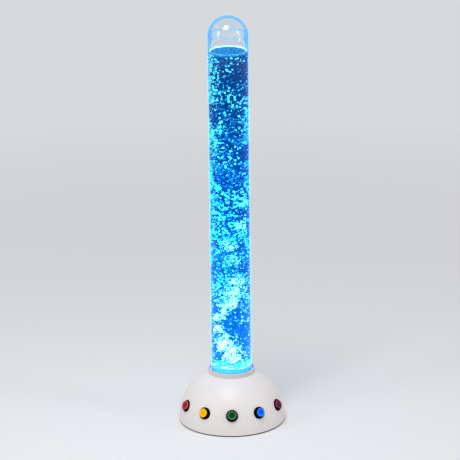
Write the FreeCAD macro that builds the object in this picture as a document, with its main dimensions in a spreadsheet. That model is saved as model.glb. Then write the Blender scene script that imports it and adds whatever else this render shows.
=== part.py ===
"""Bubble tube floor lamp: a clear water column on a moulded dome base with five push buttons.

Millimetres, +Z up, origin on the floor under the tube's axis, front of the lamp towards -Y.
Every size below can be changed by itself; what fits on it follows.
A tool that cuts right through a piece runs 1 mm past each face it opens.
"""
import FreeCAD, Part
import math
import os
import re
import Sketcher
from FreeCAD import Placement, Rotation, Vector

# ---------------------------------------------------------------- driving sizes
SIZES = {
    # water column
    "tube_od": 120, "tube_wall": 5, "tube_length": 1049, "air_gap": 50, "bond_gap": 0.1,
    "disc_thick": 20, "skirt_depth": 16,
    "dome_height": 56, "dome_wall": 4, "shelf_thick": 4, "spigot_depth": 22, "spigot_wall": 2.7,
    "spigot_gap": 0.3,
    # air fitting, diffuser and drain plug in the end disc
    "shank_radius": 4, "shank_gap": 0.1, "flange_radius": 8, "flange_thick": 3, "barb_radius": 2.6,
    "barb_length": 12, "air_bore": 1.5, "hexnut_thick": 4, "hexnut_radius": 8,
    "stone_radius": 7.5, "stone_height": 5, "water_gap": 0.3,
    "plug_radius": 4.6, "plug_head": 6.5, "plug_inset": 17, "plug_back": 20,
    # dome base
    "shell_radius": 157.5, "shell_wall": 3, "shell_skirt": 5.5, "rim_round": 1.2,
    "boss_radius": 5, "boss_height": 24, "boss_inset": 16.5, "rib_thick": 2.5, "boss_skin": 1,
    "foot_height": 3, "foot_width": 10.5, "foot_inset": 1.3, "foot_round": 1,
    "plate_thick": 3, "plate_gap": 0.5, "vent_width": 4, "vent_length": 46, "vent_pitch": 11,
    "vent_out": 54, "vent_front": 20,
    # collar and tube socket
    "cup_gap": 0.5, "collar_wall": 4, "collar_rise": 13, "collar_round": 1.5, "spigot_land": 1.7,
    "collar_gap": 0.3, "seat_gap": 0.05,
    "socket_thick": 4, "seat_ledge": 8, "flange_reach": 17, "cup_wall": 4.2, "cup_height": 20,
    "socket_gap": 0.3, "gasket_thick": 2, "flange_edge": 8, "flange_gap": 0.17,
    # light ring under the end disc
    "board_thick": 1.6, "board_margin": 4, "lamp_board_bore": 10, "post_height": 8.4,
    "post_radius": 3.2, "post_land": 3.5, "outer_leds": 12, "outer_led_pitch": 38, "inner_leds": 6,
    "inner_led_pitch": 22, "led_side": 5, "led_thick": 1.6,
    # push buttons
    "button_lift": 20.4, "button_step": 33, "hole_radius": 16.1, "barrel_radius": 15.9,
    "bezel_radius": 18.2, "bezel_thick": 3.5, "bezel_round": 2, "barrel_depth": 25.5,
    "barrel_floor": 2, "cap_radius": 14.2, "cap_gap": 0.4, "cap_proud": 8, "cap_round": 1.5,
    "cap_wall": 1.7, "cap_skirt": 15.5, "cap_roof": 3, "cap_rim": 2.4, "cap_dish": 0.6,
    "stem_radius": 2.8, "stem_gap": 0.5,
    "pad_radius": 22, "pad_depth": 6, "nut_thick": 6, "nut_radius": 21, "thread_gap": 0.15,
    "switch_wide": 20, "switch_deep": 10, "switch_tall": 14, "stem_reach": 1, "button_travel": 4,
    "blade_tall": 6, "blade_wide": 4, "blade_thick": 0.8,
    # power inlet
    "inlet_height": 30, "inlet_flange": 7.5, "inlet_body": 5.9, "inlet_bore": 3.2, "inlet_pin": 1.05,
    "inlet_sink": 5, "inlet_lip": 2, "inlet_depth": 14.5, "inlet_socket": 10, "pin_length": 9,
    "recess_radius": 10.5, "inlet_wall": 3, "inlet_gap": 0.2, "inlet_nut": 9.5,
    # screws
    "screw_radius": 1.45, "screw_hole": 1.6, "screw_head": 3, "head_thick": 2.1, "screw_length": 9,
    "edge_break": 0.6,
    # controller
    "control_wide": 90, "control_deep": 56, "control_front": 35, "control_lift": 8, "pillar_radius": 3.5,
    "control_edge": 5, "header_wide": 10, "header_deep": 6, "header_tall": 7, "header_pitch": 13,
    "power_header": 12, "chip_side": 10, "chip_thick": 1.6, "driver_wide": 6, "part_offset": 26,
    "tall_part": 9, "capacitor_radius": 5, "capacitor_tall": 14,
    # air pump
    "pump_long": 92, "pump_wide": 56, "tray_tall": 30, "cover_tall": 22, "pump_wall": 2.5,
    "pump_back": 60, "pump_round": 8, "pump_foot": 6, "pad_foot_radius": 6,
    "lever_thick": 3, "lever_width": 14, "lever_reach": 58, "pivot_lift": 23.5, "pivot_inset": 8,
    "pivot_radius": 1.5, "pivot_gap": 0.05, "eye_radius": 4, "cheek_thick": 3, "cheek_gap": 0.5,
    "magnet_long": 8, "magnet_tall": 10, "pole_gap": 2.5, "core_deep": 16, "core_tall": 26,
    "yoke_thick": 4.5, "outer_limb": 4, "centre_limb": 6, "coil_build": 5.5, "coil_gap": 0.3,
    "valve_side": 34, "valve_tall": 11, "bellows_radius": 13, "bellows_waist": 10, "bellows_rim": 2,
    "outlet_radius": 2.6, "outlet_length": 9, "outlet_height": 6,
    # air line
    "hose_radius": 4, "hose_gap": 0.1, "hose_bend": 16, "hose_inset": 62.5, "hose_drop": 28,
    "check_tall": 20, "check_radius": 9, "hose_grip": 8,
}
ROW = {name: row for row, name in enumerate(SIZES, start=1)}

doc = FreeCAD.newDocument("BubbleTubeLamp")
sheet = doc.addObject("Spreadsheet::Sheet", "Sizes")
for name, number in SIZES.items():
    sheet.set(f"A{ROW[name]}", name)
    sheet.set(f"B{ROW[name]}", str(number))
    sheet.setAlias(f"B{ROW[name]}", name)
doc.recompute()


def bound(rule):
    """The rule with each size's name turned into its cell in the sheet."""
    return re.sub(r"\b([a-z]+(?:_[a-z]+)+)\b", r"Sizes.\1", str(rule))


def size(rule):
    """What a rule comes to, as a number."""
    return float(sheet.evalExpression(bound(rule)))


# ---------------------------------------------------------------- levels and radii used by many pieces
TUBE_RADIUS = "(tube_od / 2)"
TUBE_BORE = "(tube_od / 2 - tube_wall)"
BALL_CENTRE = "(foot_height + shell_skirt)"
SHELL_INNER = "(shell_radius - shell_wall)"
COLLAR_BORE = "(tube_od / 2 + socket_gap + cup_wall + cup_gap)"
NECK_RADIUS = f"({COLLAR_BORE} + spigot_land + collar_gap)"
SOCKET_BORE = "(tube_od / 2 - seat_ledge)"
SOCKET_FLANGE = f"({NECK_RADIUS} + flange_reach)"
SOCKET_PITCH = f"({SOCKET_FLANGE} - flange_edge)"
POST_PITCH = f"({SOCKET_BORE} + post_land)"
PLUG_LEFT = f"({TUBE_BORE} - plug_inset)"


def on_ball(radius, at):
    """Height of a sphere of that radius about the shell's centre, at a distance from the axis."""
    return f"({BALL_CENTRE} + sqrt(({radius}) ^ 2 - ({at}) ^ 2))"


SEAT = f"({on_ball(SHELL_INNER, SOCKET_FLANGE)} - flange_gap)"
COLLAR_TOP = f"({on_ball('shell_radius', NECK_RADIUS)} + collar_rise)"
TUBE_FOOT = f"({SEAT} + gasket_thick)"
TUBE_RIM = f"({TUBE_FOOT} + tube_length)"
DISC_BOTTOM = f"({TUBE_FOOT} + skirt_depth)"
DISC_TOP = f"({DISC_BOTTOM} + disc_thick)"
PLATE_TOP = "(foot_height + plate_thick)"
SOCKET_UNDER = f"({SEAT} - socket_thick)"
LAMP_BOARD_TOP = f"({SOCKET_UNDER} - post_height)"
HOSE_BORE = "(barb_radius + hose_gap)"
BOSS_PITCH = "(shell_radius - boss_inset)"
INLET_FLAT = "(shell_radius - inlet_sink)"

NODES = {}


def keep(node, piece):
    """Names a finished piece as a node of the lamp."""
    piece.Label = node
    NODES[node] = piece
    return piece


def put(piece, x=0, y=0, z=0, turn=None):
    """Places a piece by rules for its three coordinates, with an optional rotation."""
    if turn is not None:
        piece.Placement = Placement(Vector(), turn)
    for axis, rule in zip("xyz", (x, y, z)):
        piece.setExpression(f"Placement.Base.{axis}", bound(rule))
    return piece


def primitive(kind, name, **rules):
    """A Part primitive whose sizes follow the sheet."""
    piece = doc.addObject(f"Part::{kind}", name)
    for key, rule in rules.items():
        piece.setExpression(key, bound(rule))
    return piece


def rod(name, radius, height, x=0, y=0, z=0, turn=None):
    return put(primitive("Cylinder", name, Radius=radius, Height=height), x, y, z, turn)


def block(name, wide, deep, tall, x=0, y=0, z=0):
    """A box centred on (x, y) and standing on z."""
    piece = primitive("Box", name, Length=wide, Width=deep, Height=tall)
    return put(piece, f"{x} - ({wide}) / 2", f"{y} - ({deep}) / 2", z)


def hexagon(name, radius, height, x=0, y=0, z=0, turn=None):
    piece = primitive("Prism", name, Circumradius=radius, Height=height)
    piece.Polygon = 6
    return put(piece, x, y, z, turn)


def ball(name, radius, z):
    """A sphere with its poles on the X axis, clear of the dome's crown."""
    return put(primitive("Sphere", name, Radius=radius), z=z, turn=Rotation(Vector(0, 1, 0), 90))


def cut(name, base, *tools):
    for number, tool in enumerate(tools, start=1):
        result = doc.addObject("Part::Cut", f"{name}_cut_{number}")
        result.Base, result.Tool = base, tool
        base = result
    return base


def fuse(name, *pieces):
    result = doc.addObject("Part::MultiFuse", f"{name}_fused")
    result.Shapes = list(pieces)
    return result


def common(name, *pieces):
    result = doc.addObject("Part::MultiCommon", f"{name}_common")
    result.Shapes = list(pieces)
    return result


def group(name, pieces):
    """Separate solids that share one node."""
    result = doc.addObject("Part::Compound", f"{name}_group")
    result.Links = list(pieces)
    return result


def plane(body, role):
    return next(feature for feature in body.Origin.OriginFeatures if feature.Role == role)


def outline_sketch(body, role, corners):
    """A closed outline of lines and arcs. A corner (a, b, radius, side) starts an arc to the next one,
    whose centre lies to the left of the way there when side is 1 and to the right when it is -1."""
    sketch = body.newObject("Sketcher::SketchObject", f"{body.Name}_outline")
    sketch.AttachmentSupport = [(plane(body, role), "")]
    sketch.MapMode = "FlatFace"
    spots = [Vector(size(corner[0]), size(corner[1]), 0) for corner in corners]
    for number, corner in enumerate(corners):
        start, end = spots[number], spots[(number + 1) % len(spots)]
        if len(corner) == 2:
            sketch.addGeometry(Part.LineSegment(start, end), False)
            continue
        radius, side = size(corner[2]), corner[3]
        half = (end - start) * 0.5
        rise = math.sqrt(max(radius ** 2 - half.Length ** 2, 0))
        left = Vector(-half.y, half.x, 0).normalize()
        centre = start + half + left * rise * side
        first, last = (start, end) if side > 0 else (end, start)
        angles = [math.atan2(spot.y - centre.y, spot.x - centre.x) for spot in (first, last)]
        arc = Part.ArcOfCircle(Part.Circle(centre, Vector(0, 0, 1), radius), *angles)
        sketch.addGeometry(arc, False)
    for number, corner in enumerate(corners):
        after = (number + 1) % len(corners)
        near, far = (1, 2) if len(corner) == 2 or corner[3] > 0 else (2, 1)
        after_near = 1 if len(corners[after]) == 2 or corners[after][3] > 0 else 2
        sketch.addConstraint(Sketcher.Constraint("Coincident", number, far, after, after_near))
        for kind, rule in (("DistanceX", corner[0]), ("DistanceY", corner[1])):
            tie = sketch.addConstraint(Sketcher.Constraint(kind, -1, 1, number, near, size(rule)))
            sketch.setExpression(f"Constraints[{tie}]", bound(rule))
        if len(corner) > 2:
            tie = sketch.addConstraint(Sketcher.Constraint("Radius", number, size(corner[2])))
            sketch.setExpression(f"Constraints[{tie}]", bound(corner[2]))
    return sketch


def turned(name, corners, x=0, y=0, z=0, turn=None):
    """A piece turned about its own Z axis from an outline of (radius, height) corners."""
    body = doc.addObject("PartDesign::Body", name)
    sketch = outline_sketch(body, "XZ_Plane", corners)
    feature = body.newObject("PartDesign::Revolution", f"{name}_turned")
    feature.Profile = sketch
    feature.ReferenceAxis = (sketch, ["V_Axis"])
    feature.Angle = 360
    return put(body, x, y, z, turn)


def boxed(radius_in, radius_out, low, high):
    """Outline of a plain ring."""
    return [(radius_in, low), (radius_out, low), (radius_out, high), (radius_in, high)]


def around(count, start=0.0):
    """Evenly spaced angles about the axis, in degrees."""
    return [start + 360.0 * step / count for step in range(count)]


def screw(name, length, x, y, z, turn=None):
    """A pan-head screw whose head meets its seat at z, pointing up unless it is turned."""
    corners = [
        (0, "0 - head_thick"), ("screw_head - edge_break", "0 - head_thick"),
        ("screw_head", "edge_break - head_thick"),
        ("screw_head", 0), ("screw_radius", 0), ("screw_radius", length), (0, length),
    ]
    return turned(name, corners, x, y, z, turn)


# ---------------------------------------------------------------- clear tube, end disc and water
def make_tube():
    keep("tube", turned("Tube", boxed(TUBE_BORE, TUBE_RADIUS, TUBE_FOOT, TUBE_RIM)))


def make_dome_cap():
    """A blown half shell, flush with the tube, on an inner shelf and a spigot that drops into the bore."""
    radius = f"(({TUBE_RADIUS} ^ 2 + dome_height ^ 2) / (2 * dome_height))"
    centre = f"{TUBE_RIM} + dome_height - {radius}"
    above = rod("DomeSpace", f"{TUBE_RADIUS} + 1", "dome_height + 1", z=TUBE_RIM)
    hollow = rod("DomeHollow", f"{TUBE_RADIUS} + 1", "dome_height", z=f"{TUBE_RIM} + shelf_thick")
    outside = common("DomeOuter", ball("DomeBall", radius, centre), above)
    inside = common("DomeInner", ball("DomeAir", f"{radius} - dome_wall", centre), hollow)
    spigot_out = f"{TUBE_BORE} - spigot_gap"
    spigot_in = f"{TUBE_BORE} - spigot_gap - spigot_wall"
    mouth = rod("DomeMouth", spigot_in, "shelf_thick + 2", z=f"{TUBE_RIM} - 1")
    spigot = turned("DomeSpigot", boxed(spigot_in, spigot_out, f"{TUBE_RIM} - spigot_depth", TUBE_RIM))
    keep("dome_cap", fuse("DomeCap", cut("DomeCap", outside, inside, mouth), spigot))


def drain_hole(name, radius, low, tall):
    return rod(name, radius, tall, f"0 - {PLUG_LEFT}", "plug_back", low)


def make_end_disc():
    disc = rod("EndDisc", f"{TUBE_BORE} - bond_gap", "disc_thick", z=DISC_BOTTOM)
    centre_hole = rod("ShankHole", "shank_radius + shank_gap", "disc_thick + 2", z=f"{DISC_BOTTOM} - 1")
    plug_hole = drain_hole("PlugHole", "plug_radius + shank_gap", f"{DISC_BOTTOM} - 1", "disc_thick + 2")
    keep("tube_end_disc", cut("EndDisc", disc, centre_hole, plug_hole))


def make_air_fitting():
    shank_foot = f"{DISC_BOTTOM} - hexnut_thick - 1"
    barb_foot = f"{shank_foot} - barb_length"
    keep("air_nozzle", turned("AirNozzle", [
        ("air_bore", barb_foot), ("barb_radius - edge_break", barb_foot), ("barb_radius", f"{barb_foot} + 3"),
        ("barb_radius", shank_foot), ("shank_radius", shank_foot), ("shank_radius", DISC_TOP),
        ("flange_radius", DISC_TOP), ("flange_radius", f"{DISC_TOP} + flange_thick"),
        ("air_bore", f"{DISC_TOP} + flange_thick"),
    ]))
    nut = hexagon("NozzleNut", "hexnut_radius", "hexnut_thick", z=f"{DISC_BOTTOM} - hexnut_thick")
    thread = rod("NozzleThread", "shank_radius + shank_gap", "hexnut_thick + 2",
                 z=f"{DISC_BOTTOM} - hexnut_thick - 1")
    keep("nozzle_nut", cut("NozzleNut", nut, thread))
    stone_foot = f"{DISC_TOP} + flange_thick"
    keep("air_stone", turned("AirStone", [
        (0, stone_foot), ("stone_radius", stone_foot), ("stone_radius", f"{stone_foot} + stone_height - 1.5"),
        ("stone_radius - 1.5", f"{stone_foot} + stone_height"), (0, f"{stone_foot} + stone_height"),
    ]))


def make_drain_plug():
    keep("drain_plug", turned("DrainPlug", [
        (0, DISC_BOTTOM), ("plug_radius - edge_break", DISC_BOTTOM),
        ("plug_radius", f"{DISC_BOTTOM} + edge_break"),
        ("plug_radius", DISC_TOP), ("plug_head", DISC_TOP), ("plug_head", f"{DISC_TOP} + flange_thick - 1"),
        ("plug_head - 1", f"{DISC_TOP} + flange_thick"), (0, f"{DISC_TOP} + flange_thick"),
    ], x=f"0 - {PLUG_LEFT}", y="plug_back"))


def make_water():
    """The water column, with the air fitting and the plug's head left out of its floor."""
    clear = f"{DISC_TOP} + flange_thick + stone_height + water_gap"
    column = turned("Water", [
        (0, clear), ("flange_radius + water_gap", clear), ("flange_radius + water_gap", DISC_TOP),
        (f"{TUBE_BORE} - bond_gap", DISC_TOP), (f"{TUBE_BORE} - bond_gap", f"{TUBE_RIM} - air_gap"),
        (0, f"{TUBE_RIM} - air_gap"),
    ])
    head = drain_hole("PlugHeadSpace", "plug_head + water_gap", f"{DISC_TOP} - 1",
                      "flange_thick + 1 + water_gap")
    keep("water_column", cut("Water", column, head))


# ---------------------------------------------------------------- collar, socket and light ring
def make_collar():
    outer = f"({COLLAR_BORE} + collar_wall)"
    spigot = f"({COLLAR_BORE} + spigot_land)"
    keep("collar_ring", turned("Collar", [
        (COLLAR_BORE, SEAT), (spigot, SEAT),
        (spigot, f"{on_ball('shell_radius', spigot)} + seat_gap"),
        (outer, f"{on_ball('shell_radius', outer)} + seat_gap"),
        (outer, f"{COLLAR_TOP} - collar_round", "collar_round", 1),
        (f"{outer} - collar_round", COLLAR_TOP), (f"{COLLAR_BORE} + edge_break", COLLAR_TOP),
        (COLLAR_BORE, f"{COLLAR_TOP} - edge_break"),
    ]))


def ring_of(name, count, start, radius, make):
    """Calls make(name, x rule, y rule) at evenly spaced places on a circle."""
    pieces = []
    for number, angle in enumerate(around(count, start), start=1):
        x = f"({radius}) * cos({angle} deg)"
        y = f"({radius}) * sin({angle} deg)"
        pieces.append(make(f"{name}{number}", x, y))
    return pieces


# how many of each there are on their circle, and the angle of the first
SOCKET_SCREWS = (4, 45.0)
POSTS = (3, 90.0)
PLATE_SCREWS = (6, 0.0)
VENT_ROWS = 5


def make_socket():
    """A flanged cup. The tube stands in it on a gasket, and it holds the collar down in the shell's neck."""
    cup_in = f"({TUBE_RADIUS} + socket_gap)"
    cup_out = f"({cup_in} + cup_wall)"
    cup = turned("Socket", [
        (SOCKET_BORE, SOCKET_UNDER), (SOCKET_FLANGE, SOCKET_UNDER), (SOCKET_FLANGE, SEAT),
        (cup_out, SEAT), (cup_out, f"{SEAT} + cup_height"), (cup_in, f"{SEAT} + cup_height"),
        (cup_in, SEAT), (SOCKET_BORE, SEAT),
    ])
    posts = ring_of("Post", *POSTS, POST_PITCH,
                    lambda n, x, y: rod(n, "post_radius", "post_height + 1", x, y, LAMP_BOARD_TOP))
    pilots = ring_of("PostPilot", *POSTS, POST_PITCH,
                     lambda n, x, y: rod(n, "screw_radius", "post_height", x, y, f"{LAMP_BOARD_TOP} - 1"))
    holes = ring_of("SocketHole", *SOCKET_SCREWS, SOCKET_PITCH,
                    lambda n, x, y: rod(n, "screw_hole", "socket_thick + 2", x, y, f"{SOCKET_UNDER} - 1"))
    keep("tube_socket", cut("Socket", fuse("Socket", cup, *posts), *pilots, *holes))
    keep("tube_gasket", turned("Gasket", boxed(f"{SOCKET_BORE} + 1", TUBE_RADIUS, SEAT, TUBE_FOOT)))
    keep("socket_screws", group("SocketScrews", ring_of(
        "SocketScrew", *SOCKET_SCREWS, SOCKET_PITCH,
        lambda n, x, y: screw(n, "screw_length", x, y, SOCKET_UNDER))))


def make_lamp_board():
    board_under = f"({LAMP_BOARD_TOP} - board_thick)"
    edge = f"({POST_PITCH} + board_margin)"
    disc = turned("LampBoard", boxed("lamp_board_bore", edge, board_under, LAMP_BOARD_TOP))
    holes = ring_of("LampBoardHole", *POSTS, POST_PITCH,
                    lambda n, x, y: rod(n, "screw_hole", "board_thick + 2", x, y, f"{board_under} - 1"))
    keep("led_board", cut("LampBoard", disc, *holes))

    def led(name, x, y):
        return block(name, "led_side", "led_side", "led_thick", x, y, LAMP_BOARD_TOP)

    outer = ring_of("OuterLed", SIZES["outer_leds"], 15.0, "outer_led_pitch", led)
    inner = ring_of("InnerLed", SIZES["inner_leds"], 0.0, "inner_led_pitch", led)
    keep("led_chips", group("Leds", outer + inner))
    keep("led_board_screws", group("LedScrews", ring_of(
        "LedScrew", *POSTS, POST_PITCH, lambda n, x, y: screw(n, "screw_length - 2", x, y, board_under))))


# ---------------------------------------------------------------- dome base
BUTTONS = {"red": -2, "yellow": -1, "green": 0, "blue": 1, "purple": 2}


def button_turn(step):
    """Turns +Z to the outward normal of the shell at a button."""
    across = math.radians(size("button_step") * step)
    lift = math.radians(size("button_lift"))
    outward = Vector(math.sin(across) * math.cos(lift), -math.cos(across) * math.cos(lift), math.sin(lift))
    return Rotation(Vector(0, 0, 1), outward)


def facing_button(piece, step):
    """Places a piece, made along +Z from the ball's centre, on a button's axis."""
    return put(piece, 0, 0, BALL_CENTRE, button_turn(step))


BACK = Rotation(Vector(1, 0, 0), -90)


def at_back(piece):
    """Places a piece, made along +Z, on the inlet's axis, which runs out towards +Y."""
    return put(piece, 0, 0, "inlet_height", BACK)


def make_shell():
    inner_neck = on_ball(SHELL_INNER, NECK_RADIUS)
    outer_neck = on_ball("shell_radius", NECK_RADIUS)
    skin = turned("Shell", [
        (SHELL_INNER, "foot_height"), ("shell_radius - rim_round", "foot_height", "rim_round", 1),
        ("shell_radius", "foot_height + rim_round"), ("shell_radius", BALL_CENTRE, "shell_radius", 1),
        (NECK_RADIUS, outer_neck), (NECK_RADIUS, inner_neck, SHELL_INNER, -1), (SHELL_INNER, BALL_CENTRE),
    ])
    pads = [facing_button(rod(f"Pad{step}", "pad_radius", "shell_radius"), step)
            for step in BUTTONS.values()]
    inlet_pad = at_back(rod("InletPad", "recess_radius + 2", "shell_radius"))
    floors = pad_floors()
    bosses = ring_of("Boss", *PLATE_SCREWS, BOSS_PITCH,
                     lambda n, x, y: rod(n, "boss_radius", "boss_height", x, y, PLATE_TOP))
    ribs = []
    for number, angle in enumerate(around(*PLATE_SCREWS), start=1):
        rib = primitive("Box", f"Rib{number}", Length="boss_inset", Width="rib_thick",
                        Height="boss_height")
        turn = Rotation(Vector(0, 0, 1), angle)
        side = turn.multVec(Vector(0, -size("rib_thick") / 2, 0))
        put(rib, f"{BOSS_PITCH} * cos({angle} deg) + {side.x}", f"{BOSS_PITCH} * sin({angle} deg) + {side.y}",
            PLATE_TOP, turn)
        ribs.append(rib)
    top_bosses = ring_of("TopBoss", *SOCKET_SCREWS, SOCKET_PITCH,
                         lambda n, x, y: rod(n, "boss_radius", "shell_wall + 10", x, y, SEAT))
    limit = fuse("ShellLimit", ball("LimitBall", "shell_radius - boss_skin", BALL_CENTRE),
                 rod("LimitDrum", "shell_radius - boss_skin", "shell_skirt", z="foot_height"))
    inside = common("ShellInside", fuse("ShellInside", *bosses, *ribs, *top_bosses), limit)
    seats = common("ShellSeats", cut("ShellSeats", fuse("ShellSeats", *pads, inlet_pad), floors), limit)
    body = fuse("Shell", skin, inside, seats)
    holes = [facing_button(rod(f"ButtonHole{step}", "hole_radius", "shell_radius + 5"), step)
             for step in BUTTONS.values()]
    recess = put(rod("InletRecess", "recess_radius", "inlet_sink + 1"), 0, INLET_FLAT,
                 "inlet_height", BACK)
    inlet_hole = at_back(rod("InletHole", "inlet_body + inlet_gap", "shell_radius"))
    pilots = ring_of("BossPilot", *PLATE_SCREWS, BOSS_PITCH,
                     lambda n, x, y: rod(n, "screw_radius", "screw_length", x, y, f"{PLATE_TOP} - 1"))
    top_pilots = ring_of("TopPilot", *SOCKET_SCREWS, SOCKET_PITCH,
                         lambda n, x, y: rod(n, "screw_radius", "screw_length - socket_thick + 0.5",
                                             x, y, SEAT))
    keep("base_shell", cut("BaseShell", body, *holes, recess, inlet_hole, *pilots, *top_pilots))


def pad_floors():
    """Everything nearer the centre than the flat seats of the button nuts and the inlet's nut."""
    drums = [facing_button(rod(f"PadFloor{step}", "pad_radius + 1", "shell_radius - pad_depth"), step)
             for step in BUTTONS.values()]
    inlet = at_back(rod("InletFloor", "recess_radius + 3", f"{INLET_FLAT} - inlet_wall"))
    return fuse("PadFloors", *drums, inlet)


def make_plate():
    """The moulded floor of the base, with vents under the pump and pillars for the controller."""
    disc = rod("Plate", f"{SHELL_INNER} - plate_gap", "plate_thick", z="foot_height")
    pillars = [rod(f"Pillar{n}", "pillar_radius", "control_lift", x, y, PLATE_TOP)
               for n, (x, y) in enumerate(control_corners(), start=1)]
    pilots = [rod(f"PillarPilot{n}", "screw_radius", "control_lift", x, y, f"{PLATE_TOP} + 1")
              for n, (x, y) in enumerate(control_corners(), start=1)]
    holes = ring_of("PlateHole", *PLATE_SCREWS, BOSS_PITCH,
                    lambda n, x, y: rod(n, "screw_hole", "plate_thick + 2", x, y, "foot_height - 1"))
    vents = [block(f"Vent{side}{row}", "vent_width", "vent_length", "plate_thick + 2",
                   f"{side} * (vent_pitch * {row} + vent_out)", "0 - vent_front", "foot_height - 1")
             for side in (-1, 1) for row in range(VENT_ROWS)]
    keep("base_plate", cut("Plate", fuse("Plate", disc, *pillars), *pilots, *holes, *vents))
    outer, inner = "(shell_radius - foot_inset)", "(shell_radius - foot_width)"
    keep("foot_ring", turned("Foot", [
        (inner, 0), (f"{outer} - foot_round", 0, "foot_round", 1), (outer, "foot_round"),
        (outer, "foot_height"), (inner, "foot_height"),
    ]))
    keep("plate_screws", group("PlateScrews", ring_of(
        "PlateScrew", *PLATE_SCREWS, BOSS_PITCH,
        lambda n, x, y: screw(n, "screw_length", x, y, "foot_height"))))


# ---------------------------------------------------------------- push buttons
FLANGE_SEAT = "(sqrt(shell_radius ^ 2 - hole_radius ^ 2) + seat_gap)"
BARREL_FOOT = "(shell_radius - barrel_depth)"
PAD_FLAT = "(shell_radius - pad_depth)"


def make_buttons():
    bezels, nuts, switches = [], [], []
    for colour, step in BUTTONS.items():
        bore = "(cap_radius + cap_gap)"
        rim = f"({FLANGE_SEAT} + bezel_thick)"
        bezels.append(facing_button(turned(f"Bezel{colour}", [
            ("stem_radius + stem_gap", BARREL_FOOT), ("barrel_radius", BARREL_FOOT),
            ("barrel_radius", FLANGE_SEAT), ("bezel_radius", FLANGE_SEAT),
            ("bezel_radius", f"{rim} - bezel_round", "bezel_round", 1), ("bezel_radius - bezel_round", rim),
            (f"{bore} + edge_break", rim), (bore, f"{rim} - edge_break"),
            (bore, f"{BARREL_FOOT} + barrel_floor"),
            ("stem_radius + stem_gap", f"{BARREL_FOOT} + barrel_floor"),
        ]), step))
        face = "(shell_radius + cap_proud)"
        stem_end = f"({BARREL_FOOT} - stem_reach)"
        keep(f"button_{colour}", facing_button(turned(f"Cap{colour}", [
            (0, stem_end), ("stem_radius", stem_end), ("stem_radius", f"{face} - cap_roof"),
            ("cap_radius - cap_wall", f"{face} - cap_roof"), ("cap_radius - cap_wall", f"{face} - cap_skirt"),
            ("cap_radius", f"{face} - cap_skirt"), ("cap_radius", f"{face} - cap_round", "cap_round", 1),
            ("cap_radius - cap_round", face), ("cap_radius - cap_rim", face),
            ("cap_radius - cap_rim - cap_dish", f"{face} - cap_dish"), (0, f"{face} - cap_dish"),
        ]), step))
        hexa = facing_button(hexagon(f"Nut{colour}", "nut_radius", "nut_thick"), step)
        shift_along(hexa, step, f"{PAD_FLAT} - nut_thick")
        thread = facing_button(rod(f"NutThread{colour}", "barrel_radius + thread_gap", "shell_radius"), step)
        nuts.append(cut(f"Nut{colour}", hexa, thread))
        switches.append(make_switch(colour, step))
    keep("button_bezels", group("Bezels", bezels))
    keep("button_nuts", group("Nuts", nuts))
    keep("button_switches", group("Switches", switches))


def shift_along(piece, step, distance):
    """Moves a piece out along a button's axis."""
    outward = button_turn(step).multVec(Vector(0, 0, 1))
    put(piece, f"({distance}) * {outward.x}", f"({distance}) * {outward.y}",
        f"{BALL_CENTRE} + ({distance}) * {outward.z}")
    return piece


def make_switch(colour, step):
    """A microswitch under the barrel, with a pocket for the stem's tip and two terminal blades."""
    foot = f"({BARREL_FOOT} - switch_tall)"
    pocket_deep = "(stem_reach + button_travel + 1)"
    body = doc.addObject("PartDesign::Body", f"Switch{colour}")
    half_wide, half_deep = "switch_wide / 2", "switch_deep / 2"
    sketch = outline_sketch(body, "XY_Plane", [
        (f"0 - {half_wide}", f"0 - {half_deep}"), (half_wide, f"0 - {half_deep}"),
        (half_wide, half_deep), (f"0 - {half_wide}", half_deep),
    ])
    sketch.setExpression("AttachmentOffset.Base.z", bound(foot))
    pad = body.newObject("PartDesign::Pad", f"Switch{colour}_case")
    pad.Profile = sketch
    pad.setExpression("Length", bound("switch_tall"))
    facing_button(body, step)
    pocket = facing_button(rod(f"SwitchPocket{colour}", "stem_radius + stem_gap", f"{pocket_deep} + 1"), step)
    shift_along(pocket, step, f"{BARREL_FOOT} - {pocket_deep}")
    turn = button_turn(step)
    blades = []
    for side in (-1, 1):
        blade = primitive("Box", f"Blade{colour}{side + 1}", Length="blade_thick", Width="blade_wide",
                          Height="blade_tall + 1")
        offset = turn.multVec(Vector(side * size("switch_wide") / 4, -size("blade_wide") / 2, 0))
        outward = turn.multVec(Vector(0, 0, 1))
        reach = f"({foot} - blade_tall)"
        put(blade, f"{offset.x} + {reach} * {outward.x}", f"{offset.y} + {reach} * {outward.y}",
            f"{BALL_CENTRE} + {offset.z} + {reach} * {outward.z}", turn)
        blades.append(blade)
    return cut(f"Switch{colour}", fuse(f"Switch{colour}", body, *blades), pocket)


# ---------------------------------------------------------------- power inlet
def make_inlet():
    """A barrel socket with its centre pin, in a flat recess at the back, clamped by a nut inside."""
    lip = f"({INLET_FLAT} + inlet_lip)"
    floor = f"({lip} - inlet_socket)"
    keep("dc_inlet", at_back(turned("Inlet", [
        (0, f"{INLET_FLAT} - inlet_depth"), ("inlet_body", f"{INLET_FLAT} - inlet_depth"),
        ("inlet_body", INLET_FLAT), ("inlet_flange", INLET_FLAT), ("inlet_flange", f"{lip} - edge_break"),
        ("inlet_flange - edge_break", lip), ("inlet_bore", lip), ("inlet_bore", floor), ("inlet_pin", floor),
        ("inlet_pin", f"{floor} + pin_length"), (0, f"{floor} + pin_length"),
    ])))
    nut = hexagon("InletNut", "inlet_nut", "hexnut_thick", turn=BACK)
    put(nut, 0, f"{INLET_FLAT} - inlet_wall - hexnut_thick", "inlet_height")
    thread = at_back(rod("InletThread", "inlet_body + thread_gap", "shell_radius"))
    keep("inlet_nut", cut("InletNut", nut, thread))


# ---------------------------------------------------------------- controller
CONTROL_BASE = f"({PLATE_TOP} + control_lift)"


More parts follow.
